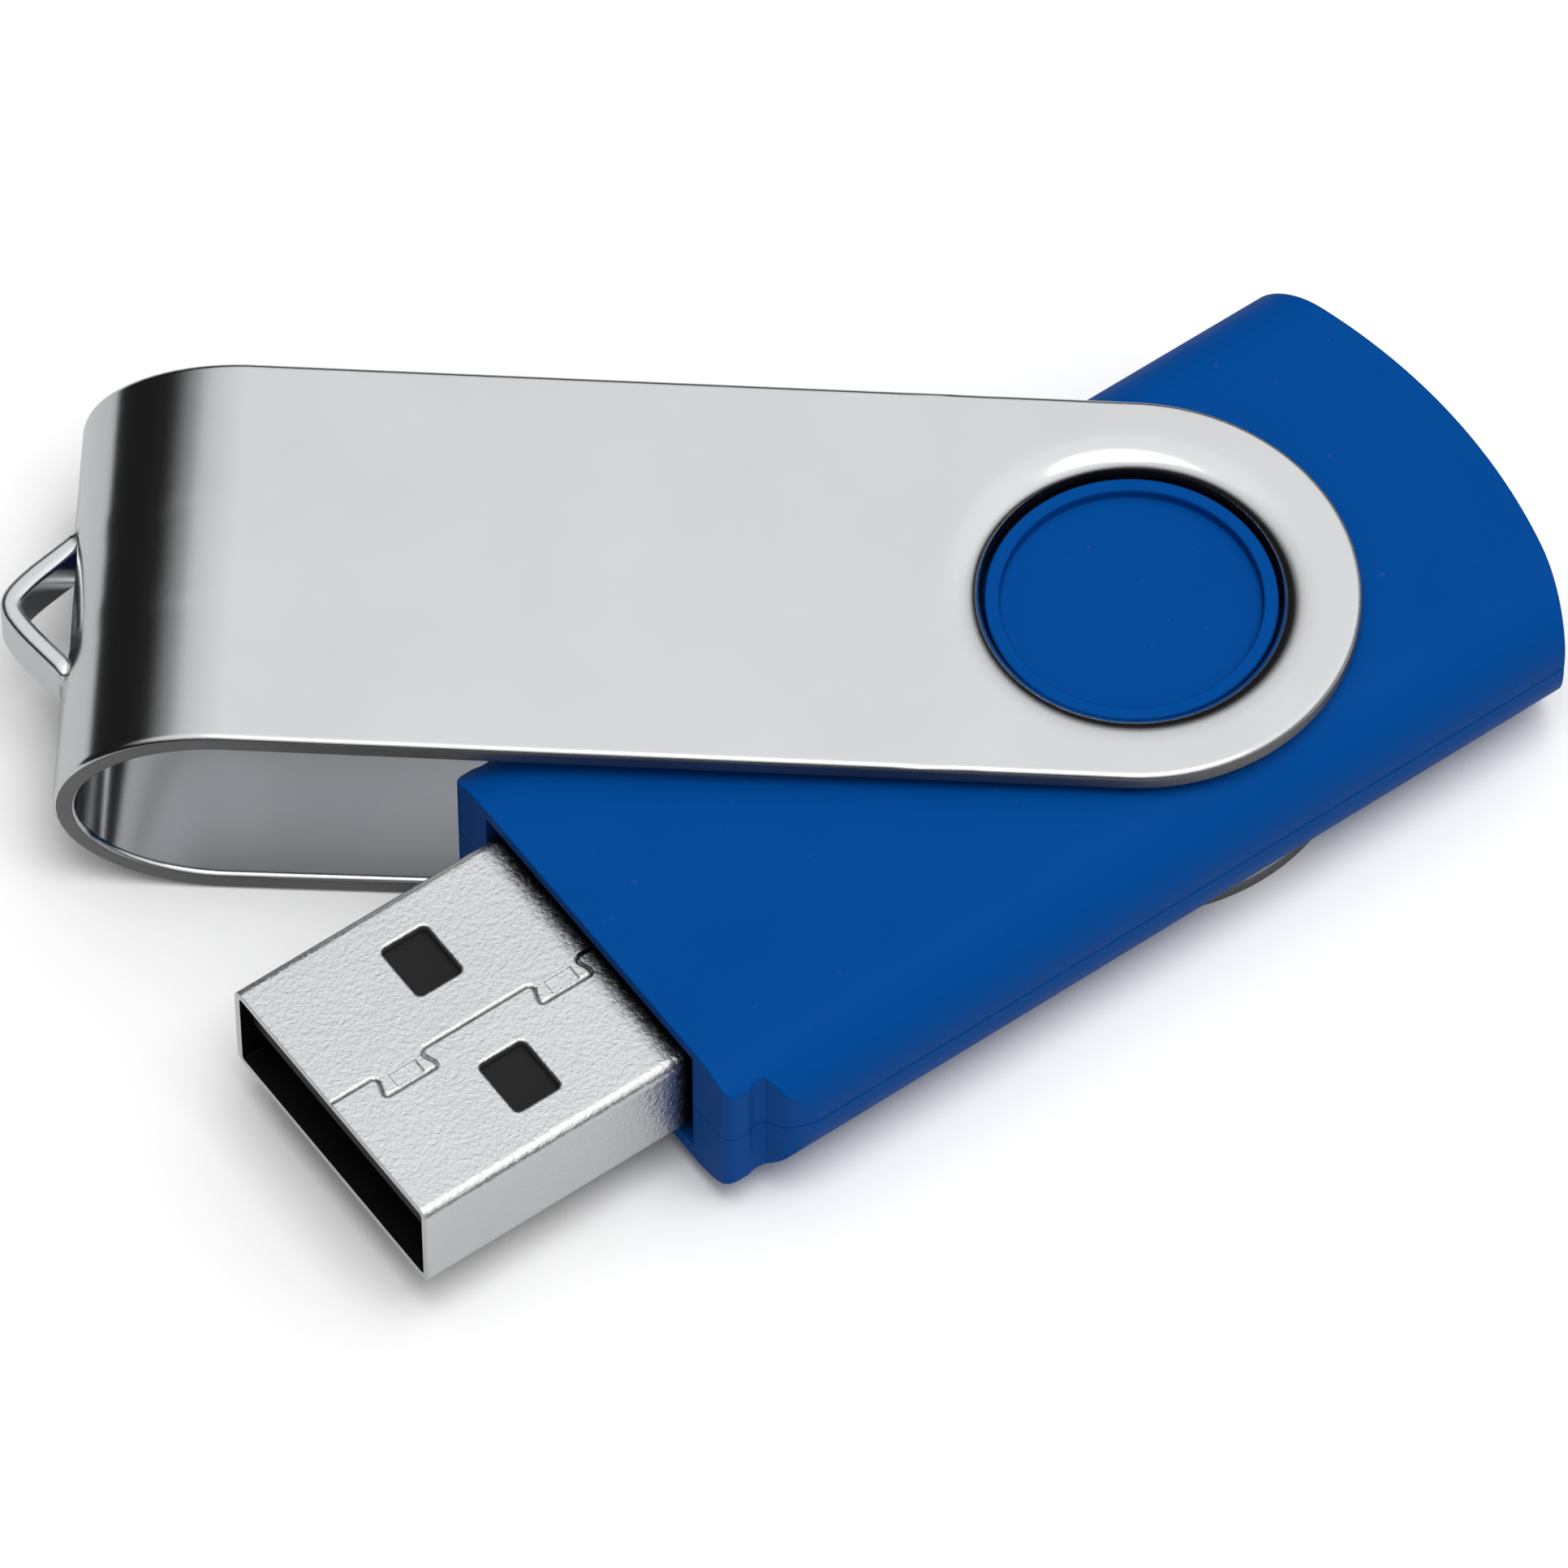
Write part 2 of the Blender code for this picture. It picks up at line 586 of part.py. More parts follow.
def make_crystal(material, parent):
    rings = []
    low = BOARD_TOP + SOLDER
    for z, inset in ((0.0, 0.0), (0.35, 0.0), (0.36, 0.12), (0.75, 0.12), (0.85, 0.22)):
        x, y = (1.6 - inset) * MM, (1.25 - inset) * MM
        height = low + z * MM
        rings.append([(-x, -y, height), (x, -y, height), (x, y, height), (-x, y, height)])
    crystal = object_from("crystal", loft(rings), material, parent)
    crystal.location = (-12.6 * MM, 3.6 * MM, 0.0)
    return crystal


def make_led(material, parent):
    """A small lamp with a domed lens, near the front of the board."""
    low = BOARD_TOP + SOLDER
    rings = []
    for z, scale in ((0.0, 1.0), (0.3, 1.0), (0.31, 0.72), (0.55, 0.62), (0.68, 0.4)):
        x, y = 0.4 * MM * scale, 0.8 * MM * scale
        height = low + z * MM
        rings.append([(-x, -y, height), (x, -y, height), (x, y, height), (-x, y, height)])
    led = object_from("status_led", loft(rings), material, parent)
    led.location = (-11.4 * MM, -4.6 * MM, 0.0)
    return led


def chip_component(name, place, quarter_turn, height, material, parent):
    """A two-terminal chip component with slightly thicker ends."""
    low = BOARD_TOP + SOLDER
    rings = []
    for x, grow in ((-0.8, 0.02), (-0.5, 0.02), (-0.49, 0.0), (0.49, 0.0), (0.5, 0.02), (0.8, 0.02)):
        y = (0.38 + grow) * MM
        z0, z1 = low + (0.02 - grow) * MM, low + (height + grow) * MM
        rings.append([(x * MM, -y, z0), (x * MM, y, z0), (x * MM, y, z1), (x * MM, -y, z1)])
    piece = object_from(name, loft(rings), material, parent)
    piece.location = (place[0] * MM, place[1] * MM, 0.0)
    if quarter_turn:
        piece.rotation_euler.z = math.pi / 2
    return piece


def make_small_components(materials, parent):
    capacitors = ((-15.2, -5.2, True), (-13.6, -5.2, True), (-15.2, 5.2, True), (-12.8, 6.2, False),
                  (-12.6, 1.2, False))
    resistors = ((-15.2, 2.4, True), (-12.6, -1.2, False), (-12.6, -2.8, False))
    for number, (x, y, turned) in enumerate(capacitors, start=1):
        chip_component(f"capacitor_{number}", (x, y), turned, 0.75, materials["capacitor_tan"], parent)
    for number, (x, y, turned) in enumerate(resistors, start=1):
        chip_component(f"resistor_{number}", (x, y), turned, 0.42, materials["resistor_black"], parent)


# ---------------------------------------------------------------- assembly

def empty(name, location):
    marker = bpy.data.objects.new(name, None)
    marker.location = location
    bpy.context.collection.objects.link(marker)
    return marker


def main():
    for item in list(bpy.data.objects):
        bpy.data.objects.remove(item, do_unlink=True)
    materials = make_materials()
    swivel_axis = empty("swivel_axis", (PIVOT_X, PIVOT_Y, 0.0))
    make_clip(materials["clip_steel"], swivel_axis)
    make_case_shell("case_top", 1, materials["case_blue"], swivel_axis)
    make_case_shell("case_bottom", -1, materials["case_blue"], swivel_axis)
    make_plug_shell(materials["plug_steel"], swivel_axis)
    make_insulator(materials["insulator_black"], swivel_axis)
    make_contacts(materials["contact_gold"], swivel_axis)
    make_board(materials["board_green"], swivel_axis)
    make_flash_memory(materials["chip_black"], swivel_axis)
    make_controller(materials["chip_black"], swivel_axis)
    make_crystal(materials["crystal_can"], swivel_axis)
    make_led(materials["led_lens"], swivel_axis)
    make_small_components(materials, swivel_axis)
    bpy.context.view_layer.update()


main()
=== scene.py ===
"""The looks of a swivel-clip flash drive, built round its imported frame.

Every piece is modelled in millimetres from the swivel axis, with the drive along X and its plug towards -X.
A finished piece is then settled into the shared frame, in metres.
"""
import logging
import math
from dataclasses import dataclass
from enum import Enum
from typing import Callable, Iterable, Sequence

import bmesh
import bpy
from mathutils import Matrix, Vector


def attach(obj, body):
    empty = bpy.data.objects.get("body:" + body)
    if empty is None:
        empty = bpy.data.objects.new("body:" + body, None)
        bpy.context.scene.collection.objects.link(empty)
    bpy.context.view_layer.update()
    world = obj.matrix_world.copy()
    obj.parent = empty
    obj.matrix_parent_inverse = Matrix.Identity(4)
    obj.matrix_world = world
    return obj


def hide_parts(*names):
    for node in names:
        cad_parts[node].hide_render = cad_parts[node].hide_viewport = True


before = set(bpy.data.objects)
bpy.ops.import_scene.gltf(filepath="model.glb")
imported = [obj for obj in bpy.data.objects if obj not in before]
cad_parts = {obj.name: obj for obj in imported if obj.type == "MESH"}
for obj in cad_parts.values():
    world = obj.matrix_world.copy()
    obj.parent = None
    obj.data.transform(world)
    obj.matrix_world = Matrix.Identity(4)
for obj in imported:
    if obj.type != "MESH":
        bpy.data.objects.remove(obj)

LOG = logging.getLogger("flash_drive")
MM = 0.001
# How far the clip is turned from closed, and where the swivel axis stands in the frame, in millimetres.
CLIP_TURN = math.radians(-38.1)
PIVOT = (10.593, -10.535)
# The flats round a full circle, and how close two places count as one, in millimetres.
RING_STEPS = 96
NEAR = 0.004
# How far a tool solid reaches past the piece that it works on, in millimetres.
SPARE = 1.0
# The share of an edge's rounding at which its middle facet stands.
FACET = 0.3

Point = tuple[float, float, float]
Flat = tuple[float, float]
Colour = tuple[float, float, float, float]


class Body(Enum):
    """The two bodies of the frame."""

    DRIVE = "drive"
    CLIP = "clip"


class Half(Enum):
    """Which of the case's two shells, as the direction that it faces."""

    TOP = 1
    BOTTOM = -1


class Cut(Enum):
    """How one solid is worked into another."""

    JOIN = "UNION"
    REMOVE = "DIFFERENCE"
    KEEP_COMMON = "INTERSECT"


# ---------------------------------------------------------------- bench: selecting, cutting and settling

def deselect_all() -> None:
    """Go back to object mode with nothing selected."""
    if bpy.context.object and bpy.context.object.mode != "OBJECT":
        bpy.ops.object.mode_set(mode="OBJECT")
    bpy.ops.object.select_all(action="DESELECT")


def take(piece: bpy.types.Object) -> None:
    """Make one piece the only selected and active object.

    Args:
        piece: The object to work on.
    """
    deselect_all()
    piece.hide_set(False)
    piece.select_set(True)
    bpy.context.view_layer.objects.active = piece


def edit(piece: bpy.types.Object) -> None:
    """Open one piece in edit mode with nothing in it selected.

    Args:
        piece: The object to open.
    """
    take(piece)
    bpy.ops.object.mode_set(mode="EDIT")
    bpy.ops.mesh.select_all(action="DESELECT")


def leave_edit() -> None:
    """Go back to object mode."""
    bpy.ops.object.mode_set(mode="OBJECT")


def pick_vertices(test: Callable[[Vector], bool]) -> int:
    """Select the open mesh's vertices by their place.

    Args:
        test: Says of a place whether a vertex there is wanted.

    Returns:
        How many were selected.
    """
    bpy.ops.mesh.select_mode(type="VERT")
    bpy.ops.mesh.select_all(action="DESELECT")
    shape = bmesh.from_edit_mesh(bpy.context.object.data)
    found = [vert for vert in shape.verts if test(vert.co)]
    for vert in found:
        vert.select_set(True)
    shape.select_flush(True)
    bmesh.update_edit_mesh(bpy.context.object.data)
    return len(found)


def pick_edges(test: Callable[[Vector, Vector], bool], sharper_than: float = 0.0) -> int:
    """Select the open mesh's edges by the places of their two ends.

    Args:
        test: Says of an edge's two ends whether it is wanted.
        sharper_than: The least angle between the edge's two faces, in degrees. Edges with one face pass.

    Returns:
        How many were selected.
    """
    bpy.ops.mesh.select_mode(type="EDGE")
    bpy.ops.mesh.select_all(action="DESELECT")
    shape = bmesh.from_edit_mesh(bpy.context.object.data)
    limit = math.radians(sharper_than)
    found = [edge for edge in shape.edges
             if test(edge.verts[0].co, edge.verts[1].co)
             and (len(edge.link_faces) != 2 or edge.calc_face_angle(0.0) >= limit)]
    for edge in found:
        edge.select_set(True)
    bmesh.update_edit_mesh(bpy.context.object.data)
    return len(found)


def pick_faces(test: Callable[[Vector, Vector], bool]) -> int:
    """Select the open mesh's faces by their middle and normal.

    Args:
        test: Says of a face's middle and normal whether it is wanted.

    Returns:
        How many were selected.
    """
    bpy.ops.mesh.select_mode(type="FACE")
    bpy.ops.mesh.select_all(action="DESELECT")
    shape = bmesh.from_edit_mesh(bpy.context.object.data)
    found = [face for face in shape.faces if test(face.calc_center_median(), face.normal)]
    for face in found:
        face.select_set(True)
    bmesh.update_edit_mesh(bpy.context.object.data)
    return len(found)


def add_box(name: str, low: Point, high: Point) -> bpy.types.Object:
    """Add a box between two corners.

    Args:
        name: The object's name.
        low: Its lowest corner.
        high: Its highest corner.

    Returns:
        The box, as a start for a piece or a cutter.
    """
    deselect_all()
    size = [b - a for a, b in zip(low, high)]
    middle = [(a + b) / 2 for a, b in zip(low, high)]
    bpy.ops.mesh.primitive_cube_add(size=1.0, location=middle)
    box = bpy.context.object
    box.name = name
    box.scale = size
    bpy.ops.object.transform_apply(location=True, rotation=True, scale=True)
    return box


def add_drum(name: str, radius: float, low: float, high: float, centre: Flat = (0.0, 0.0)) -> bpy.types.Object:
    """Add an upright round drum.

    Args:
        name: The object's name.
        radius: Its radius.
        low: The height of its foot.
        high: The height of its top.
        centre: Where it stands in plan.

    Returns:
        The drum, as a start for a piece or a cutter.
    """
    deselect_all()
    place = (centre[0], centre[1], (low + high) / 2)
    bpy.ops.mesh.primitive_cylinder_add(vertices=RING_STEPS, radius=radius, depth=high - low, location=place)
    drum = bpy.context.object
    drum.name = name
    bpy.ops.object.transform_apply(location=True, rotation=True, scale=True)
    return drum


def draw_line(name: str, points: Sequence[Point]) -> bpy.types.Object:
    """Draw a line by extruding one vertex from point to point. It stays open in edit mode.

    Args:
        name: The object's name.
        points: The places that the line passes.

    Returns:
        The object with the line, all of it selected.
    """
    deselect_all()
    bpy.ops.mesh.primitive_plane_add(size=0.1, location=(0.0, 0.0, 0.0))
    line = bpy.context.object
    line.name = name
    edit(line)
    bpy.ops.mesh.select_mode(type="VERT")
    bpy.ops.mesh.select_all(action="SELECT")
    bpy.ops.mesh.merge(type="CENTER")
    bpy.ops.transform.translate(value=points[0])
    for here, there in zip(points, points[1:]):
        step = [b - a for a, b in zip(here, there)]
        bpy.ops.mesh.extrude_region_move(TRANSFORM_OT_translate={"value": step})
    bpy.ops.mesh.select_all(action="SELECT")
    return line


def add_prism(name: str, outline: Sequence[Flat], low: float, high: float) -> bpy.types.Object:
    """Raise an outline in plan into an upright prism.

    Args:
        name: The object's name.
        outline: The corners in plan, in order.
        low: The height of its foot.
        high: The height of its top.

    Returns:
        The prism.
    """
    prism = draw_line(name, [(x, y, low) for x, y in outline])
    bpy.ops.mesh.edge_face_add()
    bpy.ops.mesh.extrude_region_move(TRANSFORM_OT_translate={"value": (0.0, 0.0, high - low)})
    bpy.ops.mesh.select_all(action="SELECT")
    bpy.ops.mesh.normals_make_consistent(inside=False)
    leave_edit()
    return prism


def add_turned(name: str, profile: Sequence[Flat]) -> bpy.types.Object:
    """Turn a profile about the swivel axis, as on a lathe.

    Args:
        name: The object's name.
        profile: Radius and height of each point. The first and last stand on the axis.

    Returns:
        The turned solid.
    """
    turned = draw_line(name, [(radius, 0.0, height) for radius, height in profile])
    bpy.ops.mesh.spin(steps=RING_STEPS, angle=math.tau, center=(0.0, 0.0, 0.0), axis=(0.0, 0.0, 1.0))
    bpy.ops.mesh.select_all(action="SELECT")
    bpy.ops.mesh.remove_doubles(threshold=NEAR)
    bpy.ops.mesh.normals_make_consistent(inside=False)
    leave_edit()
    return turned


def work(piece: bpy.types.Object, tool: bpy.types.Object, how: Cut) -> None:
    """Join, cut or trim a piece with a tool solid, which is used up.

    Args:
        piece: The object that is changed.
        tool: The solid that changes it.
        how: Whether it joins, removes or keeps what both share.
    """
    take(piece)
    step = piece.modifiers.new("work", "BOOLEAN")
    step.operation = how.value
    step.solver = "EXACT"
    step.object = tool
    bpy.ops.object.modifier_apply(modifier=step.name)
    bpy.data.objects.remove(tool, do_unlink=True)


def tidy_mesh(piece: bpy.types.Object, flat_within: float = 0.4) -> None:
    """Merge doubles and take out the edges that cross flat ground.

    Args:
        piece: The object to tidy.
        flat_within: The largest angle, in degrees, that still counts as flat.
    """
    edit(piece)
    bpy.ops.mesh.select_all(action="SELECT")
    bpy.ops.mesh.remove_doubles(threshold=NEAR)
    bpy.ops.mesh.dissolve_limited(angle_limit=math.radians(flat_within), use_dissolve_boundaries=False)
    leave_edit()


def round_edges(piece: bpy.types.Object, width: float, segments: int, angle: float) -> None:
    """Round every edge that is sharper than an angle.

    Args:
        piece: The object to round.
        width: How far the rounding reaches from the edge.
        segments: The flats across it.
        angle: The least angle, in degrees.
    """
    take(piece)
    step = piece.modifiers.new("edges", "BEVEL")
    step.width = width
    step.segments = segments
    step.limit_method = "ANGLE"
    step.angle_limit = math.radians(angle)
    step.use_clamp_overlap = False
    step.miter_outer = "MITER_ARC"
    bpy.ops.object.modifier_apply(modifier=step.name)


def smooth(piece: bpy.types.Object, angle: float = 32.0) -> None:
    """Shade a piece smoothly up to an angle, with its large faces kept flat.

    Args:
        piece: The object to shade.
        angle: The sharpest angle, in degrees, that is still smooth.
    """
    take(piece)
    bpy.ops.object.shade_smooth_by_angle(angle=math.radians(angle))
    step = piece.modifiers.new("normals", "WEIGHTED_NORMAL")
    step.keep_sharp = True
    step.weight = 80
    bpy.ops.object.modifier_apply(modifier=step.name)


def settle(piece: bpy.types.Object, name: str, turn: float = 0.0) -> None:
    """Put a finished piece in its place in the frame, in metres, with its object at the origin.

    Args:
        piece: The object, modelled in millimetres from the swivel axis.
        name: Its final name.
        turn: How far it is turned about the swivel axis.
    """
    take(piece)
    piece.name = name
    piece.data.name = name
    piece.rotation_euler.z = turn
    piece.scale = (MM, MM, MM)
    piece.location = (PIVOT[0] * MM, PIVOT[1] * MM, 0.0)
    bpy.ops.object.transform_apply(location=True, rotation=True, scale=True)


def paint(piece: bpy.types.Object, material: bpy.types.Material) -> None:
    """Give a piece one material.

    Args:
        piece: The object.
        material: Its material.
    """
    piece.data.materials.clear()
    piece.data.materials.append(material)


def install(piece: bpy.types.Object, body: Body, slot: str, *nodes: str) -> None:
    """Hand a finished piece to the frame.

    Args:
        piece: The finished object.
        body: The body that it rides on.
        slot: The name of its material slot; not used.
        nodes: The nodes that it stands for.
    """
    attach(piece, body.value)
    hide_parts(*nodes)
    triangles = sum(len(face.vertices) - 2 for face in piece.data.polygons)
    LOG.info("%s: %d triangles on body %s", piece.name, triangles, body.value)


def arc_points(centre: Flat, radius: float, start: float, end: float, steps: int) -> list[Flat]:
    """Points along an arc.

    Args:
        centre: Its centre.
        radius: Its radius.
        start: The angle of its first point, in degrees.
        end: The angle of its last point, in degrees.
        steps: How many steps it is divided into.

    Returns:
        The points, first and last among them.
    """
    turns = [math.radians(start + (end - start) * i / steps) for i in range(steps + 1)]
    return [(centre[0] + radius * math.cos(a), centre[1] + radius * math.sin(a)) for a in turns]


# ---------------------------------------------------------------- finishes

@dataclass(frozen=True)
class SteelFinish:
    """A bare steel surface, brushed one way and lightly grained, with painted shade that can darken it towards
    one end.
    """

    name: str
    light: Colour
    dark: Colour
    roughness: float
    roughness_spread: float
    turn: float
    streak: Point
    streak_depth: float
    peel_scale: float
    peel_depth: float
    edge_radius: float
    # The last three fields are painted shade: how near to black the colour goes, and the two places along X
    # over which it darkens.
    painted_shade: float = 0.0
    painted_shade_start: float = 0.0
    painted_shade_end: float = 1.0


CLIP_STEEL = SteelFinish(
    name="clip_steel", light=(0.70, 0.71, 0.72, 1.0), dark=(0.62, 0.63, 0.645, 1.0), roughness=0.15,
    roughness_spread=0.04, turn=-CLIP_TURN, streak=(900.0, 14000.0, 14000.0), streak_depth=0.04,
    peel_scale=900.0, peel_depth=0.002, edge_radius=0.00012)

# The sheared edge: rougher, as cut steel is, and darker as painted shade standing in for the dark reflections
# on the upright edge.
CUT_STEEL = SteelFinish(
    name="cut_steel", light=(0.24, 0.24, 0.24, 1.0), dark=(0.14, 0.14, 0.14, 1.0), roughness=0.5,
    roughness_spread=0.08, turn=-CLIP_TURN, streak=(1500.0, 9000.0, 9000.0), streak_depth=0.15,
    peel_scale=3500.0, peel_depth=0.12, edge_radius=0.00008)

# Painted shade: a nearly black copy of the steel for the lips' inner walls and the plug's inside, which are
# dark only from shadow and reflection.
SHADED_STEEL = SteelFinish(
    name="shaded_steel", light=(0.028, 0.027, 0.027, 1.0), dark=(0.012, 0.012, 0.012, 1.0), roughness=0.5,
    roughness_spread=0.08, turn=0.0, streak=(3000.0, 3000.0, 3000.0), streak_depth=0.10,
    peel_scale=3500.0, peel_depth=0.10, edge_radius=0.00006)

# The plug's steel has painted shade where it runs into the case mouth, standing in for the shadow and dark
# reflections there.
PLUG_STEEL = SteelFinish(
    name="plug_steel", light=(0.74, 0.745, 0.75, 1.0), dark=(0.64, 0.645, 0.655, 1.0), roughness=0.30,
    roughness_spread=0.06, turn=0.0, streak=(2500.0, 2500.0, 2500.0), streak_depth=0.05,
    peel_scale=5600.0, peel_depth=0.24, edge_radius=0.00008, painted_shade=0.96, painted_shade_start=-0.01435,
    painted_shade_end=-0.01325)


def make_steel(finish: SteelFinish) -> bpy.types.Material:
    """Write out a bare steel material.

    Args:
        finish: Its colours and the sizes of its marks.

    Returns:
        The material.
    """
    material = bpy.data.materials.new(finish.name)
    material.use_nodes = True
    tree = material.node_tree
    nodes, links = tree.nodes, tree.links
    nodes.clear()

    output = nodes.new("ShaderNodeOutputMaterial")
    output.label = "Steel surface"
    output.location = (900, 0)
    shader = nodes.new("ShaderNodeBsdfPrincipled")
    shader.label = "Bare steel"
    shader.location = (600, 0)
    shader.inputs["Metallic"].default_value = 1.0

    colour_frame = nodes.new("NodeFrame")
    colour_frame.label = "Tone of the sheet"
    place = nodes.new("ShaderNodeTexCoord")
    place.label = "Place on the piece"
    place.location = (-1100, 0)
    along = nodes.new("ShaderNodeMapping")
    along.label = "Line up with the sheet"
    along.location = (-900, 0)
    along.inputs["Rotation"].default_value = (0.0, 0.0, finish.turn)
    clouds = nodes.new("ShaderNodeTexNoise")
    clouds.label = "Broad cloudiness"
    clouds.location = (-500, 300)
    clouds.inputs["Scale"].default_value = 180.0
    clouds.inputs["Detail"].default_value = 3.0
    tone = nodes.new("ShaderNodeMix")
    tone.label = "Lighter and darker steel"
    tone.location = (-200, 300)
    tone.data_type = "RGBA"
    tone.inputs["A"].default_value = finish.dark
    tone.inputs["B"].default_value = finish.light

    brush_frame = nodes.new("NodeFrame")
    brush_frame.label = "Brush marks"
    stretch = nodes.new("ShaderNodeMapping")
    stretch.label = "Draw the marks out"
    stretch.location = (-700, -100)
    stretch.inputs["Scale"].default_value = finish.streak
    marks = nodes.new("ShaderNodeTexNoise")
    marks.label = "Fine brush marks"
    marks.location = (-500, -100)
    marks.inputs["Scale"].default_value = 1.0
    marks.inputs["Detail"].default_value = 4.0
    marks.inputs["Roughness"].default_value = 0.6
    satin = nodes.new("ShaderNodeMapRange")
    satin.label = "Satin varies with the marks"
    satin.location = (-200, 0)
    satin.inputs["To Min"].default_value = finish.roughness - finish.roughness_spread
    satin.inputs["To Max"].default_value = finish.roughness + finish.roughness_spread

    relief_frame = nodes.new("NodeFrame")
    relief_frame.label = "Relief"
    edge = nodes.new("ShaderNodeBevel")
    edge.label = "Softly broken edges"
    edge.location = (-500, -700)
    edge.samples = 4
    edge.inputs["Radius"].default_value = finish.edge_radius
    peel = nodes.new("ShaderNodeTexNoise")
    peel.label = "Pebbled surface"
    peel.location = (-500, -400)
    peel.inputs["Scale"].default_value = finish.peel_scale
    peel.inputs["Detail"].default_value = 2.0
    peel.inputs["Distortion"].default_value = 0.4
    pebbles = nodes.new("ShaderNodeBump")
    pebbles.label = "Pebbles in relief"
    pebbles.location = (0, -400)
    pebbles.inputs["Strength"].default_value = finish.peel_depth
    pebbles.inputs["Distance"].default_value = 0.00012
    scratches = nodes.new("ShaderNodeBump")
    scratches.label = "Brush marks in relief"
    scratches.location = (250, -300)
    scratches.inputs["Strength"].default_value = finish.streak_depth
    scratches.inputs["Distance"].default_value = 0.00002

    # Painted shade: the colour darkens towards one end of the piece along X, with a ragged edge.
    painted_shade_frame = nodes.new("NodeFrame")
    painted_shade_frame.label = "Painted shade"
    where = nodes.new("ShaderNodeSeparateXYZ")
    where.label = "Place along the piece"
    where.location = (-700, 600)
    ragged = nodes.new("ShaderNodeMath")
    ragged.label = "Ragged edge"
    ragged.location = (-500, 600)
    ragged.operation = "MULTIPLY_ADD"
    ragged.inputs[1].default_value = 0.0007
    gather = nodes.new("ShaderNodeMapRange")
    gather.label = "Grime gathers at one end"
    gather.location = (-300, 600)
    gather.interpolation_type = "SMOOTHSTEP"
    gather.inputs["From Min"].default_value = finish.painted_shade_start
    gather.inputs["From Max"].default_value = finish.painted_shade_end
    gather.inputs["To Max"].default_value = finish.painted_shade
    painted_shade = nodes.new("ShaderNodeMix")
    painted_shade.label = "Painted dark shade"
    painted_shade.location = (100, 500)
    painted_shade.data_type = "RGBA"
    painted_shade.inputs["B"].default_value = (0.012, 0.012, 0.013, 1.0)

    for node in (place, along, clouds, tone):
        node.parent = colour_frame
    for node in (stretch, marks, satin):
        node.parent = brush_frame
    for node in (edge, peel, pebbles, scratches):
        node.parent = relief_frame
    for node in (where, ragged, gather, painted_shade):
        node.parent = painted_shade_frame

    links.new(place.outputs["Object"], along.inputs["Vector"])
    links.new(along.outputs["Vector"], clouds.inputs["Vector"])
    links.new(clouds.outputs["Fac"], tone.inputs["Factor"])
    links.new(place.outputs["Object"], where.inputs["Vector"])
    links.new(peel.outputs["Fac"], ragged.inputs[0])
    links.new(where.outputs["X"], ragged.inputs[2])
    links.new(ragged.outputs["Value"], gather.inputs["Value"])
    links.new(gather.outputs["Result"], painted_shade.inputs["Factor"])
    links.new(tone.outputs["Result"], painted_shade.inputs["A"])
    links.new(painted_shade.outputs["Result"], shader.inputs["Base Color"])
    links.new(along.outputs["Vector"], stretch.inputs["Vector"])
    links.new(stretch.outputs["Vector"], marks.inputs["Vector"])
    links.new(marks.outputs["Fac"], satin.inputs["Value"])
    links.new(satin.outputs["Result"], shader.inputs["Roughness"])
    links.new(along.outputs["Vector"], peel.inputs["Vector"])
    links.new(edge.outputs["Normal"], pebbles.inputs["Normal"])
    links.new(peel.outputs["Fac"], pebbles.inputs["Height"])
    links.new(pebbles.outputs["Normal"], scratches.inputs["Normal"])
    links.new(marks.outputs["Fac"], scratches.inputs["Height"])
    links.new(scratches.outputs["Normal"], shader.inputs["Normal"])
    links.new(shader.outputs["BSDF"], output.inputs["Surface"])
    return material


@dataclass(frozen=True)
class PlasticFinish:
    """A moulded plastic, resin or ceramic surface with a fine mould texture."""

    name: str
    base: Colour
    mottle: Colour
    roughness: float
    specular: float
    texture_scale: float
    texture_depth: float
    speck: Colour
    edge_radius: float


CASE_BLUE = PlasticFinish(
    name="case_blue", base=(0.0, 0.058, 0.262, 1.0), mottle=(0.0, 0.054, 0.248, 1.0), roughness=0.44,
    specular=0.03, texture_scale=5200.0, texture_depth=0.10, speck=(0.01, 0.06, 0.26, 1.0),
    edge_radius=0.00015)
INSULATOR_BLACK = PlasticFinish(
    name="insulator_black", base=(0.006, 0.006, 0.007, 1.0), mottle=(0.010, 0.010, 0.011, 1.0), roughness=0.52,
    specular=0.2, texture_scale=3500.0, texture_depth=0.10, speck=(0.02, 0.02, 0.021, 1.0),
    edge_radius=0.00008)
BOARD_GREEN = PlasticFinish(
    name="board_green", base=(0.006, 0.12, 0.045, 1.0), mottle=(0.010, 0.16, 0.065, 1.0), roughness=0.33,
    specular=0.5, texture_scale=1600.0, texture_depth=0.10, speck=(0.03, 0.24, 0.11, 1.0),
    edge_radius=0.00005)
CHIP_BLACK = PlasticFinish(
    name="chip_black", base=(0.018, 0.018, 0.020, 1.0), mottle=(0.028, 0.028, 0.030, 1.0), roughness=0.6,
    specular=0.4, texture_scale=6000.0, texture_depth=0.30, speck=(0.05, 0.05, 0.05, 1.0),
    edge_radius=0.00005)
CAPACITOR_TAN = PlasticFinish(
    name="capacitor_tan", base=(0.33, 0.21, 0.115, 1.0), mottle=(0.27, 0.165, 0.085, 1.0), roughness=0.45,
    specular=0.4, texture_scale=5000.0, texture_depth=0.2, speck=(0.42, 0.30, 0.19, 1.0),
    edge_radius=0.00004)
RESISTOR_BLACK = PlasticFinish(
    name="resistor_black", base=(0.02, 0.02, 0.024, 1.0), mottle=(0.035, 0.035, 0.04, 1.0), roughness=0.4,
    specular=0.5, texture_scale=5000.0, texture_depth=0.2, speck=(0.08, 0.08, 0.08, 1.0),
    edge_radius=0.00004)
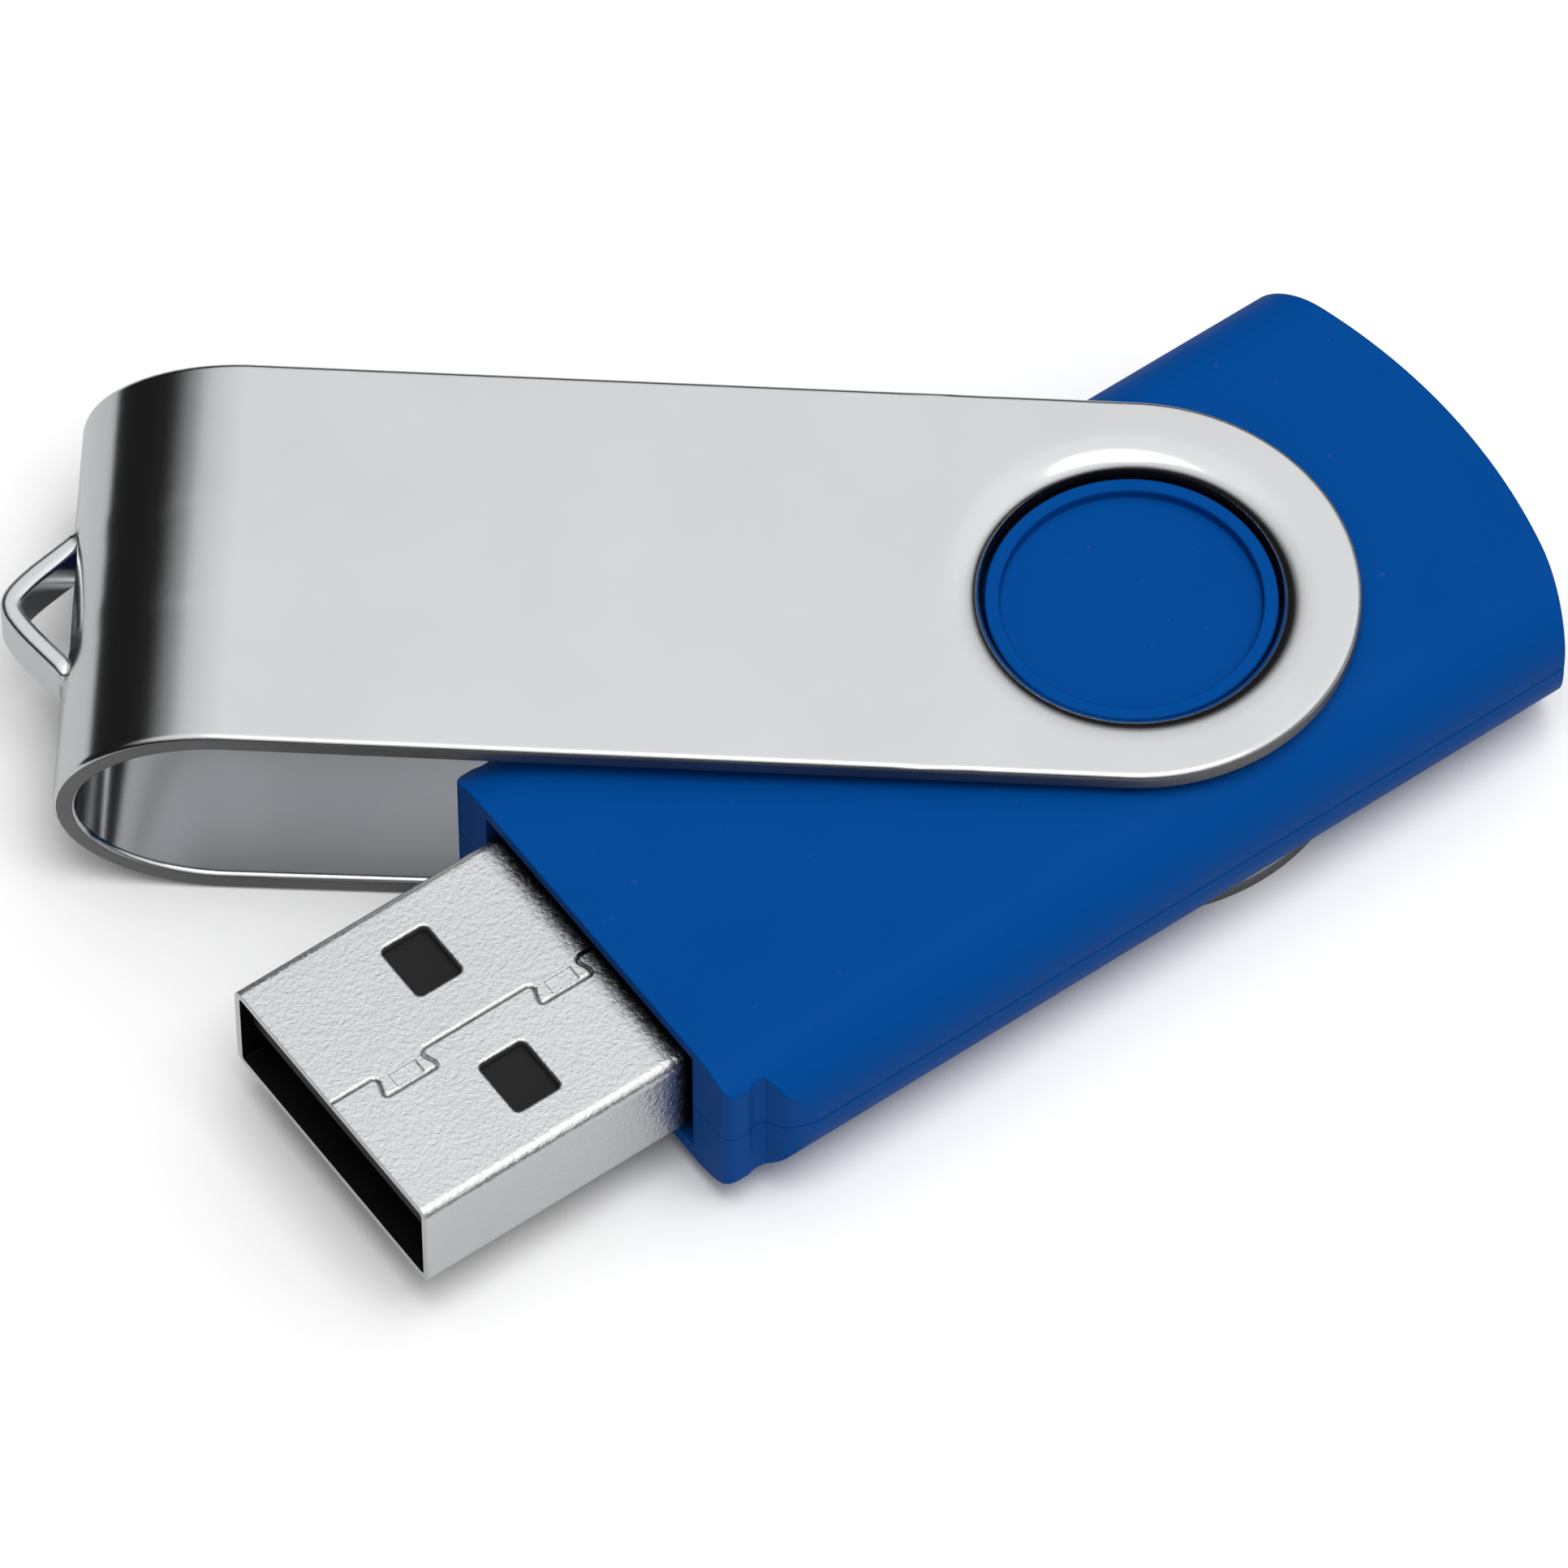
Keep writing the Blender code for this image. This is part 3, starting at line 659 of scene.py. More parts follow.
LED_LENS = PlasticFinish(
    name="led_lens", base=(0.72, 0.75, 0.77, 1.0), mottle=(0.62, 0.66, 0.68, 1.0), roughness=0.16,
    specular=0.5, texture_scale=3000.0, texture_depth=0.05, speck=(0.85, 0.86, 0.86, 1.0),
    edge_radius=0.00005)


def make_plastic(finish: PlasticFinish) -> bpy.types.Material:
    """Write out a moulded plastic material.

    Args:
        finish: Its colours and the sizes of its marks.

    Returns:
        The material.
    """
    material = bpy.data.materials.new(finish.name)
    material.use_nodes = True
    tree = material.node_tree
    nodes, links = tree.nodes, tree.links
    nodes.clear()

    output = nodes.new("ShaderNodeOutputMaterial")
    output.label = "Moulded surface"
    output.location = (900, 0)
    shader = nodes.new("ShaderNodeBsdfPrincipled")
    shader.label = "Moulded plastic"
    shader.location = (600, 0)
    shader.inputs["Specular IOR Level"].default_value = finish.specular

    colour_frame = nodes.new("NodeFrame")
    colour_frame.label = "Colour"
    place = nodes.new("ShaderNodeTexCoord")
    place.label = "Place on the piece"
    place.location = (-1100, 0)
    clouds = nodes.new("ShaderNodeTexNoise")
    clouds.label = "Uneven pigment"
    clouds.location = (-800, 300)
    clouds.inputs["Scale"].default_value = 240.0
    clouds.inputs["Detail"].default_value = 4.0
    pigment = nodes.new("ShaderNodeMix")
    pigment.label = "Pigment"
    pigment.location = (-400, 300)
    pigment.data_type = "RGBA"
    pigment.inputs["A"].default_value = finish.base
    pigment.inputs["B"].default_value = finish.mottle
    dust = nodes.new("ShaderNodeTexNoise")
    dust.label = "Scattered specks"
    dust.location = (-800, 80)
    dust.inputs["Scale"].default_value = 2600.0
    dust.inputs["Detail"].default_value = 0.0
    few = nodes.new("ShaderNodeMapRange")
    few.label = "Only the highest peaks are specks"
    few.location = (-600, 80)
    few.inputs["From Min"].default_value = 0.84
    few.inputs["From Max"].default_value = 0.88
    specks = nodes.new("ShaderNodeMix")
    specks.label = "Specks over pigment"
    specks.location = (-100, 200)
    specks.data_type = "RGBA"
    specks.inputs["B"].default_value = finish.speck

    gloss_frame = nodes.new("NodeFrame")
    gloss_frame.label = "Gloss"
    handling = nodes.new("ShaderNodeTexNoise")
    handling.label = "Polish from handling"
    handling.location = (-800, -180)
    handling.inputs["Scale"].default_value = 420.0
    handling.inputs["Detail"].default_value = 5.0
    polish = nodes.new("ShaderNodeMapRange")
    polish.label = "Duller and brighter patches"
    polish.location = (-400, -150)
    polish.inputs["To Min"].default_value = finish.roughness - 0.05
    polish.inputs["To Max"].default_value = finish.roughness + 0.06

    relief_frame = nodes.new("NodeFrame")
    relief_frame.label = "Mould texture"
    spark = nodes.new("ShaderNodeTexNoise")
    spark.label = "Spark-eroded mould"
    spark.location = (-800, -450)
    spark.inputs["Scale"].default_value = finish.texture_scale
    spark.inputs["Detail"].default_value = 3.0
    edge = nodes.new("ShaderNodeBevel")
    edge.label = "Softly rounded edges"
    edge.location = (-400, -700)
    edge.samples = 4
    edge.inputs["Radius"].default_value = finish.edge_radius
    grain = nodes.new("ShaderNodeBump")
    grain.label = "Grain in relief"
    grain.location = (0, -450)
    grain.inputs["Strength"].default_value = finish.texture_depth
    grain.inputs["Distance"].default_value = 0.00003

    for node in (place, clouds, pigment, dust, few, specks):
        node.parent = colour_frame
    for node in (handling, polish):
        node.parent = gloss_frame
    for node in (spark, edge, grain):
        node.parent = relief_frame

    links.new(place.outputs["Object"], clouds.inputs["Vector"])
    links.new(clouds.outputs["Fac"], pigment.inputs["Factor"])
    links.new(place.outputs["Object"], dust.inputs["Vector"])
    links.new(dust.outputs["Fac"], few.inputs["Value"])
    links.new(few.outputs["Result"], specks.inputs["Factor"])
    links.new(pigment.outputs["Result"], specks.inputs["A"])
    links.new(specks.outputs["Result"], shader.inputs["Base Color"])
    links.new(place.outputs["Object"], handling.inputs["Vector"])
    links.new(handling.outputs["Fac"], polish.inputs["Value"])
    links.new(polish.outputs["Result"], shader.inputs["Roughness"])
    links.new(place.outputs["Object"], spark.inputs["Vector"])
    links.new(spark.outputs["Fac"], grain.inputs["Height"])
    links.new(edge.outputs["Normal"], grain.inputs["Normal"])
    links.new(grain.outputs["Normal"], shader.inputs["Normal"])
    links.new(shader.outputs["BSDF"], output.inputs["Surface"])
    return material


@dataclass(frozen=True)
class PlatedFinish:
    """A plated metal surface with light wipe marks."""

    name: str
    fresh: Colour
    worn: Colour
    roughness: float


CONTACT_GOLD = PlatedFinish("contact_gold", (0.86, 0.62, 0.26, 1.0), (0.74, 0.50, 0.20, 1.0), 0.22)
CRYSTAL_CAN = PlatedFinish("crystal_can", (0.68, 0.66, 0.60, 1.0), (0.56, 0.55, 0.50, 1.0), 0.28)


def make_plated(finish: PlatedFinish) -> bpy.types.Material:
    """Write out a plated metal material.

    Args:
        finish: Its colours and gloss.

    Returns:
        The material.
    """
    material = bpy.data.materials.new(finish.name)
    material.use_nodes = True
    tree = material.node_tree
    nodes, links = tree.nodes, tree.links
    nodes.clear()

    output = nodes.new("ShaderNodeOutputMaterial")
    output.label = "Plated surface"
    output.location = (700, 0)
    shader = nodes.new("ShaderNodeBsdfPrincipled")
    shader.label = "Plated metal"
    shader.location = (400, 0)
    shader.inputs["Metallic"].default_value = 1.0
    wear_frame = nodes.new("NodeFrame")
    wear_frame.label = "Wipe wear"
    place = nodes.new("ShaderNodeTexCoord")
    place.label = "Place on the piece"
    place.location = (-800, 0)
    stretch = nodes.new("ShaderNodeMapping")
    stretch.label = "Wiped along the plug"
    stretch.location = (-600, 0)
    stretch.inputs["Scale"].default_value = (600.0, 6000.0, 6000.0)
    wipe = nodes.new("ShaderNodeTexNoise")
    wipe.label = "Wipe marks"
    wipe.location = (-400, 0)
    wipe.inputs["Scale"].default_value = 1.0
    wipe.inputs["Detail"].default_value = 3.0
    plating = nodes.new("ShaderNodeMix")
    plating.label = "Fresh and worn plating"
    plating.location = (-100, 150)
    plating.data_type = "RGBA"
    plating.inputs["A"].default_value = finish.fresh
    plating.inputs["B"].default_value = finish.worn
    gloss = nodes.new("ShaderNodeMapRange")
    gloss.label = "Marks are duller"
    gloss.location = (-100, -80)
    gloss.inputs["To Min"].default_value = finish.roughness - 0.05
    gloss.inputs["To Max"].default_value = finish.roughness + 0.08
    relief = nodes.new("ShaderNodeBump")
    relief.label = "Marks in relief"
    relief.location = (150, -250)
    relief.inputs["Strength"].default_value = 0.08
    relief.inputs["Distance"].default_value = 0.00002
    for node in (place, stretch, wipe, plating, gloss, relief):
        node.parent = wear_frame

    links.new(place.outputs["Object"], stretch.inputs["Vector"])
    links.new(stretch.outputs["Vector"], wipe.inputs["Vector"])
    links.new(wipe.outputs["Fac"], plating.inputs["Factor"])
    links.new(plating.outputs["Result"], shader.inputs["Base Color"])
    links.new(wipe.outputs["Fac"], gloss.inputs["Value"])
    links.new(gloss.outputs["Result"], shader.inputs["Roughness"])
    links.new(wipe.outputs["Fac"], relief.inputs["Height"])
    links.new(relief.outputs["Normal"], shader.inputs["Normal"])
    links.new(shader.outputs["BSDF"], output.inputs["Surface"])
    return material


# ---------------------------------------------------------------- the swivel clip

@dataclass
class SwivelClip:
    """The bent steel clip: two arms with rolled lips, the bend, and the eye slit out of the bend."""

    width: float = 16.84
    sheet: float = 0.85
    reach: float = 39.0
    bend_depth: float = 6.3
    height_at_bend: float = 9.7
    height_at_pivot: float = 9.1
    bore: float = 5.45
    lip_depth: float = 1.25
    lip_power: float = 3.3
    lip_steps: int = 16
    lip_thinning: float = 0.7
    lip_thin_reach: float = 0.4
    # How far out from the bore, and up to what tilt, the lips' walls get the painted shade of the nearly black
    # steel.
    lip_dark_reach: float = 0.3
    lip_dark_tilt: float = 0.5
    collar_ring: float = 7.4
    eye_height: float = 2.2
    eye_half_span: float = 3.3
    eye_reach: float = 2.45
    eye_thinning: float = 0.9
    eye_tip: float = 1.15
    eye_root: float = 0.12
    eye_front: float = 0.9
    eye_lines: tuple[float, ...] = (0.18, 0.36, 0.8, 1.35, 1.9, 2.45, 2.9, 3.1)
    eye_steps: int = 4
    bend_steps: int = 18
    edge_round: float = 0.25
    cut_tilt: float = 0.75

    @property
    def bend_start(self) -> float:
        """Where the straight arms end and the bend starts."""
        return self.bend_depth - self.reach

    def lip_profile(self) -> list[Flat]:
        """Radius and depth along the lip, from just above its rim out to the flat arm.

        Returns:
            Points on a curve that starts upright at the bore and flattens out gently.
        """
        run = self.collar_ring - self.bore
        points = []
        for i in range(1, self.lip_steps + 1):
            share = math.sin(math.pi / 2 * (1.0 - i / self.lip_steps)) ** (2 / self.lip_power)
            depth = self.lip_depth * (1.0 - (1.0 - share ** self.lip_power) ** (1 / self.lip_power))
            points.append((self.collar_ring - run * share, depth))
        return points

    def collar(self, height: float, inward: int) -> None:
        """In edit mode, add one arm: its lip, its round end and its straight part.

        Args:
            height: The height of the arm's outer surface at the pivot.
            inward: +1 if the inside of the clip is above the arm, -1 if it is below.
        """
        bpy.ops.mesh.select_mode(type="EDGE")
        bpy.ops.mesh.select_all(action="DESELECT")
        rim = height + inward * self.lip_depth
        bpy.ops.mesh.primitive_circle_add(vertices=RING_STEPS, radius=self.bore, location=(0.0, 0.0, rim))
        radius, depth = self.bore, self.lip_depth
        for next_radius, next_depth in self.lip_profile():
            bpy.ops.mesh.extrude_region_move()
            grow = next_radius / radius
            bpy.ops.transform.resize(value=(grow, grow, 1.0), center_override=(0.0, 0.0, height))
            bpy.ops.transform.translate(value=(0.0, 0.0, inward * (next_depth - depth)))
            radius, depth = next_radius, next_depth
        self.square_off(height)
        back = -self.width / 2 + NEAR
        pick_edges(lambda a, b: max(a.x, b.x) < back and abs(a.z - height) < NEAR)
        bpy.ops.mesh.extrude_region_move()
        bpy.ops.transform.resize(value=(0.0, 1.0, 1.0), center_override=(self.bend_start, 0.0, height))

    def square_off(self, height: float) -> None:
        """In edit mode, take the collar's last ring out to the round end and the square start of the arm.

        Args:
            height: The height of the arm's outer surface.
        """
        half = self.width / 2
        bpy.ops.mesh.extrude_region_move()
        grow = half / self.collar_ring
        bpy.ops.transform.resize(value=(grow, grow, 1.0), center_override=(0.0, 0.0, height))
        for i in range(1, RING_STEPS // 4 + 1):
            turn = math.tau * i / RING_STEPS
            x, y = half * math.sin(turn), half * math.cos(turn)
            reach = half / max(x, y)
            pick_vertices(lambda p: abs(p.x + x) < NEAR and abs(abs(p.y) - y) < NEAR
                          and abs(p.z - height) < NEAR)
            bpy.ops.transform.resize(value=(reach, reach, 1.0), center_override=(0.0, 0.0, height))

    def line_up_eye_edges(self) -> None:
        """Move the two lines nearest the eye's ends onto them, along the start of the bend."""
        steps = RING_STEPS // 8
        lines = [self.width / 2 * math.tan(math.pi / 4 * i / steps) for i in range(steps)]
        nearest = min(lines, key=lambda y: abs(y - self.eye_half_span))
        pick_vertices(lambda p: p.x < self.bend_start + NEAR and abs(abs(p.y) - nearest) < NEAR)
        scale = self.eye_half_span / nearest
        bpy.ops.transform.resize(value=(1.0, scale, 1.0), center_override=(0.0, 0.0, 0.0))

    def bend(self) -> None:
        """In edit mode, spin the upper arm's end down to the lower arm, in three runs that meet at the eye."""
        middle = self.height_at_bend / 2
        eye_angle = math.asin(self.eye_height / self.height_at_bend)
        pick_edges(lambda a, b: max(a.x, b.x) < self.bend_start + NEAR and min(a.z, b.z) > middle)
        centre = (self.bend_start, 0.0, middle)
        above_eye = (math.pi / 2 - eye_angle, self.bend_steps)
        for turn, steps in (above_eye, (2 * eye_angle, self.eye_steps), above_eye):
            bpy.ops.mesh.spin(steps=steps, angle=turn, center=centre, axis=(0.0, 1.0, 0.0))
        bpy.ops.mesh.select_all(action="SELECT")
        bpy.ops.mesh.remove_doubles(threshold=NEAR)
        pick_vertices(lambda p: p.x < self.bend_start - NEAR)
        stretch = self.bend_depth / middle
        bpy.ops.transform.resize(value=(stretch, 1.0, 1.0), center_override=centre)

    def eye_stand_off(self, y: float) -> float:
        """How far the eye stands off the bend.

        Args:
            y: The distance across the clip.

        Returns:
            The stand-off: a V with a round tip and filleted roots.
        """
        across = math.hypot(y, self.eye_tip)
        end = math.hypot(self.eye_half_span, self.eye_tip)
        rise = (end - across) / (end - self.eye_tip)
        eased = (rise + math.hypot(rise, self.eye_root) - self.eye_root) / (
            1.0 + math.hypot(1.0, self.eye_root) - self.eye_root)
        return self.eye_reach * eased

    def push_out_eye(self) -> list[int]:
        """In edit mode, slit the eye free and push it out.

        Returns:
            The indices of its vertices.
        """
        middle = self.height_at_bend / 2
        half = self.eye_height / 2
        front = self.bend_start - self.bend_depth * self.eye_front
        span = self.eye_half_span
        pick_edges(lambda a, b: all(p.x < front and abs(p.y) < span + NEAR
                                    and abs(abs(p.z - middle) - half) < NEAR for p in (a, b))
                   and abs(a.z - b.z) < NEAR)
        bpy.ops.mesh.edge_split(type="EDGE")

        def in_strip(centre: Vector, _: Vector) -> bool:
            """Whether a face belongs to the eye's strip."""
            return centre.x < front and abs(centre.y) < span and abs(centre.z - middle) < half

        for y in self.eye_lines:
            for side in (-1, 1):
                pick_faces(in_strip)
                bpy.ops.mesh.bisect(plane_co=(0.0, side * y, 0.0), plane_no=(0.0, 1.0, 0.0), threshold=NEAR)
        pick_faces(in_strip)
        shape = bmesh.from_edit_mesh(bpy.context.object.data)
        shape.verts.index_update()
        strip = {vert.index: vert.co.y for face in shape.faces if face.select for vert in face.verts
                 if abs(vert.co.y) < span - NEAR}
        bpy.ops.mesh.select_mode(type="VERT")
        for line in sorted({round(y, 2) for y in strip.values()}):
            bpy.ops.mesh.select_all(action="DESELECT")
            shape = bmesh.from_edit_mesh(bpy.context.object.data)
            for vert in shape.verts:
                if vert.index in strip and abs(vert.co.y - line) < 1.5 * NEAR:
                    vert.select_set(True)
            bmesh.update_edit_mesh(bpy.context.object.data)
            place = -self.reach - self.eye_stand_off(line)
            bpy.ops.transform.resize(value=(0.0, 1.0, 1.0), center_override=(place, 0.0, middle))
        return sorted(strip)

    def dress(self, clip: bpy.types.Object, materials: dict[str, bpy.types.Material]) -> None:
        """Give the clip its steel, a duller steel darkened with painted shade round its sheared edge, and
        painted shade as a nearly black steel down the walls of its lips.

        Args:
            clip: The modelled clip, before it is settled.
            materials: The materials by name.
        """
        paint(clip, materials["clip_steel"])
        clip.data.materials.append(materials["cut_steel"])
        clip.data.materials.append(materials["shaded_steel"])
        edge = self.width / 2 - self.edge_round * FACET
        lip = self.bore + self.lip_dark_reach
        for face in clip.data.polygons:
            x, y, _ = face.center
            outermost = abs(y) if x < 0.0 else math.hypot(x, y)
            # The sheared edge gets the duller steel, darkened with painted shade.
            if outermost > edge and abs(face.normal.z) < self.cut_tilt and abs(face.normal.x) < 0.999:
                face.material_index = 1
            # The lips' inner walls get painted shade: the nearly black steel.
            if math.hypot(x, y) < lip and abs(face.normal.z) < self.lip_dark_tilt:
                face.material_index = 2

    def build(self, materials: dict[str, bpy.types.Material]) -> bpy.types.Object:
        """Model, dress and install the clip.

        Args:
            materials: The materials by name.

        Returns:
            The finished clip.
        """
        deselect_all()
        bpy.ops.mesh.primitive_circle_add(vertices=3, radius=1.0, location=(0.0, 0.0, 0.0))
        clip = bpy.context.object
        edit(clip)
        bpy.ops.mesh.select_all(action="SELECT")
        bpy.ops.mesh.delete(type="VERT")
        self.collar(self.height_at_pivot, -1)
        lean = math.atan2(self.height_at_bend - self.height_at_pivot, -self.bend_start)
        pick_vertices(lambda p: p.z > self.height_at_pivot / 2)
        bpy.ops.transform.rotate(value=-lean, orient_axis="Y", center_override=(0.0, 0.0, self.height_at_pivot))
        pick_vertices(lambda p: p.x < self.bend_start + 0.1)
        bpy.ops.transform.resize(value=(0.0, 1.0, 0.0),
                                 center_override=(self.bend_start, 0.0, self.height_at_bend))
        self.collar(0.0, 1)
        self.line_up_eye_edges()
        self.bend()
        eye = self.push_out_eye()
        bpy.ops.mesh.select_all(action="SELECT")
        bpy.ops.mesh.normals_make_consistent(inside=False)
        leave_edit()
        top = max(clip.data.polygons, key=lambda face: face.center.z)
        if top.normal.z < 0:
            clip.data.flip_normals()
        sheet = clip.vertex_groups.new(name="sheet")
        sheet.add(range(len(clip.data.vertices)), 1.0, "REPLACE")
        thin = self.bore + self.lip_thin_reach
        lips = [vert.index for vert in clip.data.vertices if math.hypot(vert.co.x, vert.co.y) < thin]
        sheet.add(lips, self.lip_thinning, "REPLACE")
        sheet.add(eye, self.eye_thinning, "REPLACE")
        wall = clip.modifiers.new("wall", "SOLIDIFY")
        wall.thickness = self.sheet
        wall.offset = -1.0
        wall.use_even_offset = True
        wall.vertex_group = "sheet"
        bpy.ops.object.modifier_apply(modifier=wall.name)
        round_edges(clip, self.edge_round, 3, 50.0)
        smooth(clip, 40.0)
        self.dress(clip, materials)
        settle(clip, "clip_strip", CLIP_TURN)
        install(clip, Body.CLIP, "clip_steel", "swivel_clip")
        return clip


# ---------------------------------------------------------------- the case

@dataclass
class CaseShell:
    """One moulded shell of the case, with its half of the plug's pocket and its pivot boss."""

    half: Half
    front: float = -24.3
    rear: float = 14.7
    half_width: float = 9.62
    bottom: float = 1.0
    top: float = 7.9
    parting_gap: float = 0.03
    parting_chamfers: tuple[float, float] = (0.03, 0.12)
    side_rounding: float = 2.94
    rear_radius: float = 24.4
    shoulder_length: float = 2.9
    shoulder_inset: float = 1.05
    front_corner: float = 0.5
    scallop_radius: float = 0.75
    scallop_back: float = 1.35
    scallop_out: float = 0.62
    flare_radius: float = 3.2
    flare_back: float = 0.9
    margin: float = 0.05
    wall: float = 1.4
    cavity_half_width: float = 7.8
    cavity_bottom: float = 2.1
    cavity_top: float = 6.8
    boss_radius: float = 5.38
    boss_rise: float = 0.5
    disc_radius: float = 4.82
    disc_drop: float = 0.5
    boss_edge: float = 0.1
    groove_radius: float = 6.75
    groove_depth: float = 0.7
    pad_radius: float = 7.6
    pad_depth: float = 1.6
    plug_half_width: float = 6.15
    plug_middle: float = 4.6
    plug_half_height: float = 2.4
    plug_end: float = -18.6
    mouth_gap: float = 0.4
    mouth_side_gap: float = 0.24
    mouth_depth: float = 1.1
    groove_overlap: float = 0.2
    roof_overlap: float = 0.6

    @property
    def direction(self) -> int:
        """+1 for the upper shell and -1 for the lower."""
        return self.half.value

    @property
    def middle(self) -> float:
        """The height of the parting line."""
        return (self.bottom + self.top) / 2

    @property
    def outer(self) -> float:
        """The height of this shell's flat outer face."""
        return self.top if self.half is Half.TOP else self.bottom

    def span(self, first: float, second: float) -> tuple[float, float]:
        """Two heights in rising order."""
        return min(first, second), max(first, second)

    def side_line(self) -> list[Flat]:
        """One side of the case in plan, from the front corner over the scallop to the full width."""
        full = self.half_width
        narrow = full - self.shoulder_inset
        corner = (self.front + self.front_corner, narrow - self.front_corner)
        scallop = (self.front + self.scallop_back, narrow + self.scallop_out)
        flare = (self.front + self.shoulder_length + self.flare_back, full + self.margin - self.flare_radius)
        line = arc_points(corner, self.front_corner, 180.0, 90.0, 6)
        line += arc_points(scallop, self.scallop_radius, 236.0, 296.0, 6)
        return line + arc_points(flare, self.flare_radius, 122.0, 90.0, 8)

    def outline(self) -> list[Flat]:
        """The whole case in plan."""
        side = self.side_line()
        centre = self.rear - self.rear_radius
        end = math.degrees(math.asin((self.half_width + self.margin) / self.rear_radius))
        rear = arc_points((centre, 0.0), self.rear_radius, -end, end, 48)
        return [(x, -y) for x, y in side] + rear + side[::-1]

    def cavity_outline(self) -> list[Flat]:
        """The cavity in plan."""
        radius = self.rear_radius - self.wall
        end = math.degrees(math.asin(self.cavity_half_width / radius))
        rear = arc_points((self.rear - self.rear_radius, 0.0), radius, -end, end, 16)
        front = self.front + self.wall
        return [(front, -self.cavity_half_width)] + rear + [(front, self.cavity_half_width)]

    def bar(self) -> bpy.types.Object:
        """A bar with the shell's section: flat outside, a large rounding down each side."""
        parting = self.middle + self.direction * self.parting_gap / 2
        chamfer = self.parting_chamfers[self.half is Half.BOTTOM]
        low, high = self.span(parting, self.outer)
        bar = add_box("bar", (self.front - 2 * SPARE, -self.half_width, low),
                      (self.rear + 2 * SPARE, self.half_width, high))
        edit(bar)

        def along(a: Vector, b: Vector, height: float) -> bool:
            """Whether an edge runs along the bar at a height."""
            return abs(a.x - b.x) > 1.0 and abs(a.z - height) < NEAR and abs(b.z - height) < NEAR

        pick_edges(lambda a, b: along(a, b, self.outer))
        bpy.ops.mesh.bevel(offset=self.side_rounding, segments=14, affect="EDGES", clamp_overlap=False)
        pick_edges(lambda a, b: along(a, b, parting) and abs(a.y) > self.half_width - NEAR)
        bpy.ops.mesh.bevel(offset=chamfer, segments=2, affect="EDGES", clamp_overlap=False)
        leave_edit()
        return bar

    def boss(self) -> bpy.types.Object:
        """The turned boss: a raised ring round a sunk disc."""
        face = self.outer + self.direction * self.boss_rise
        floor = face - self.direction * self.disc_drop
        foot = self.outer - self.direction * (self.groove_depth + self.groove_overlap)
        edge = self.boss_edge
        step = self.direction * edge
        inner, outer = self.disc_radius, self.boss_radius
        profile = [(0.0, floor), (inner - edge, floor), (inner - edge * FACET, floor + step * FACET),
                   (inner, floor + step), (inner, face - step),
                   (inner + edge * FACET, face - step * FACET), (inner + edge, face),
                   (outer - edge, face), (outer - edge * FACET, face - step * FACET),
                   (outer, face - step), (outer, foot), (0.0, foot)]
        return add_turned("boss", profile)

    def build(self, blue: bpy.types.Material) -> bpy.types.Object:
        """Model, dress and install the shell.

        Args:
            blue: Its material.

        Returns:
            The finished shell.
        """
        out = self.direction
        shell = self.bar()
        work(shell, add_prism("outline", self.outline(), -SPARE, 12.0), Cut.KEEP_COMMON)
        roof = self.cavity_top if self.half is Half.TOP else self.cavity_bottom
        cavity = add_prism("cavity", self.cavity_outline(), *self.span(self.middle - out, roof))
        work(shell, cavity, Cut.REMOVE)
        pad_end = self.outer - out * self.pad_depth
        pad = add_drum("pad", self.pad_radius, *self.span(self.outer - out * self.roof_overlap, pad_end))
        work(shell, pad, Cut.JOIN)
        groove_floor = self.outer - out * self.groove_depth
        groove = add_drum("groove", self.groove_radius, *self.span(groove_floor, self.outer + out))
        work(shell, groove, Cut.REMOVE)
        work(shell, self.boss(), Cut.JOIN)
        pocket_end = self.plug_middle + out * self.plug_half_height
        low, high = self.span(self.middle - out, pocket_end)
        pocket = add_box("pocket", (self.front - SPARE, -self.plug_half_width, low),
                         (self.plug_end, self.plug_half_width, high))
        work(shell, pocket, Cut.REMOVE)
        mouth_end = self.plug_middle + out * (self.plug_half_height + self.mouth_gap)
        low, high = self.span(self.middle - out, mouth_end)
        mouth_half = self.plug_half_width + self.mouth_side_gap
        mouth = add_box("mouth", (self.front - SPARE, -mouth_half, low),
                        (self.front + self.mouth_depth, mouth_half, high))
        work(shell, mouth, Cut.REMOVE)
        tidy_mesh(shell)
        smooth(shell, 28.0)
        name = "case_shell_" + self.half.name.lower()
        settle(shell, name)
        paint(shell, blue)
        install(shell, Body.DRIVE, "case_blue", "case_" + self.half.name.lower())
        return shell


# ---------------------------------------------------------------- the plug

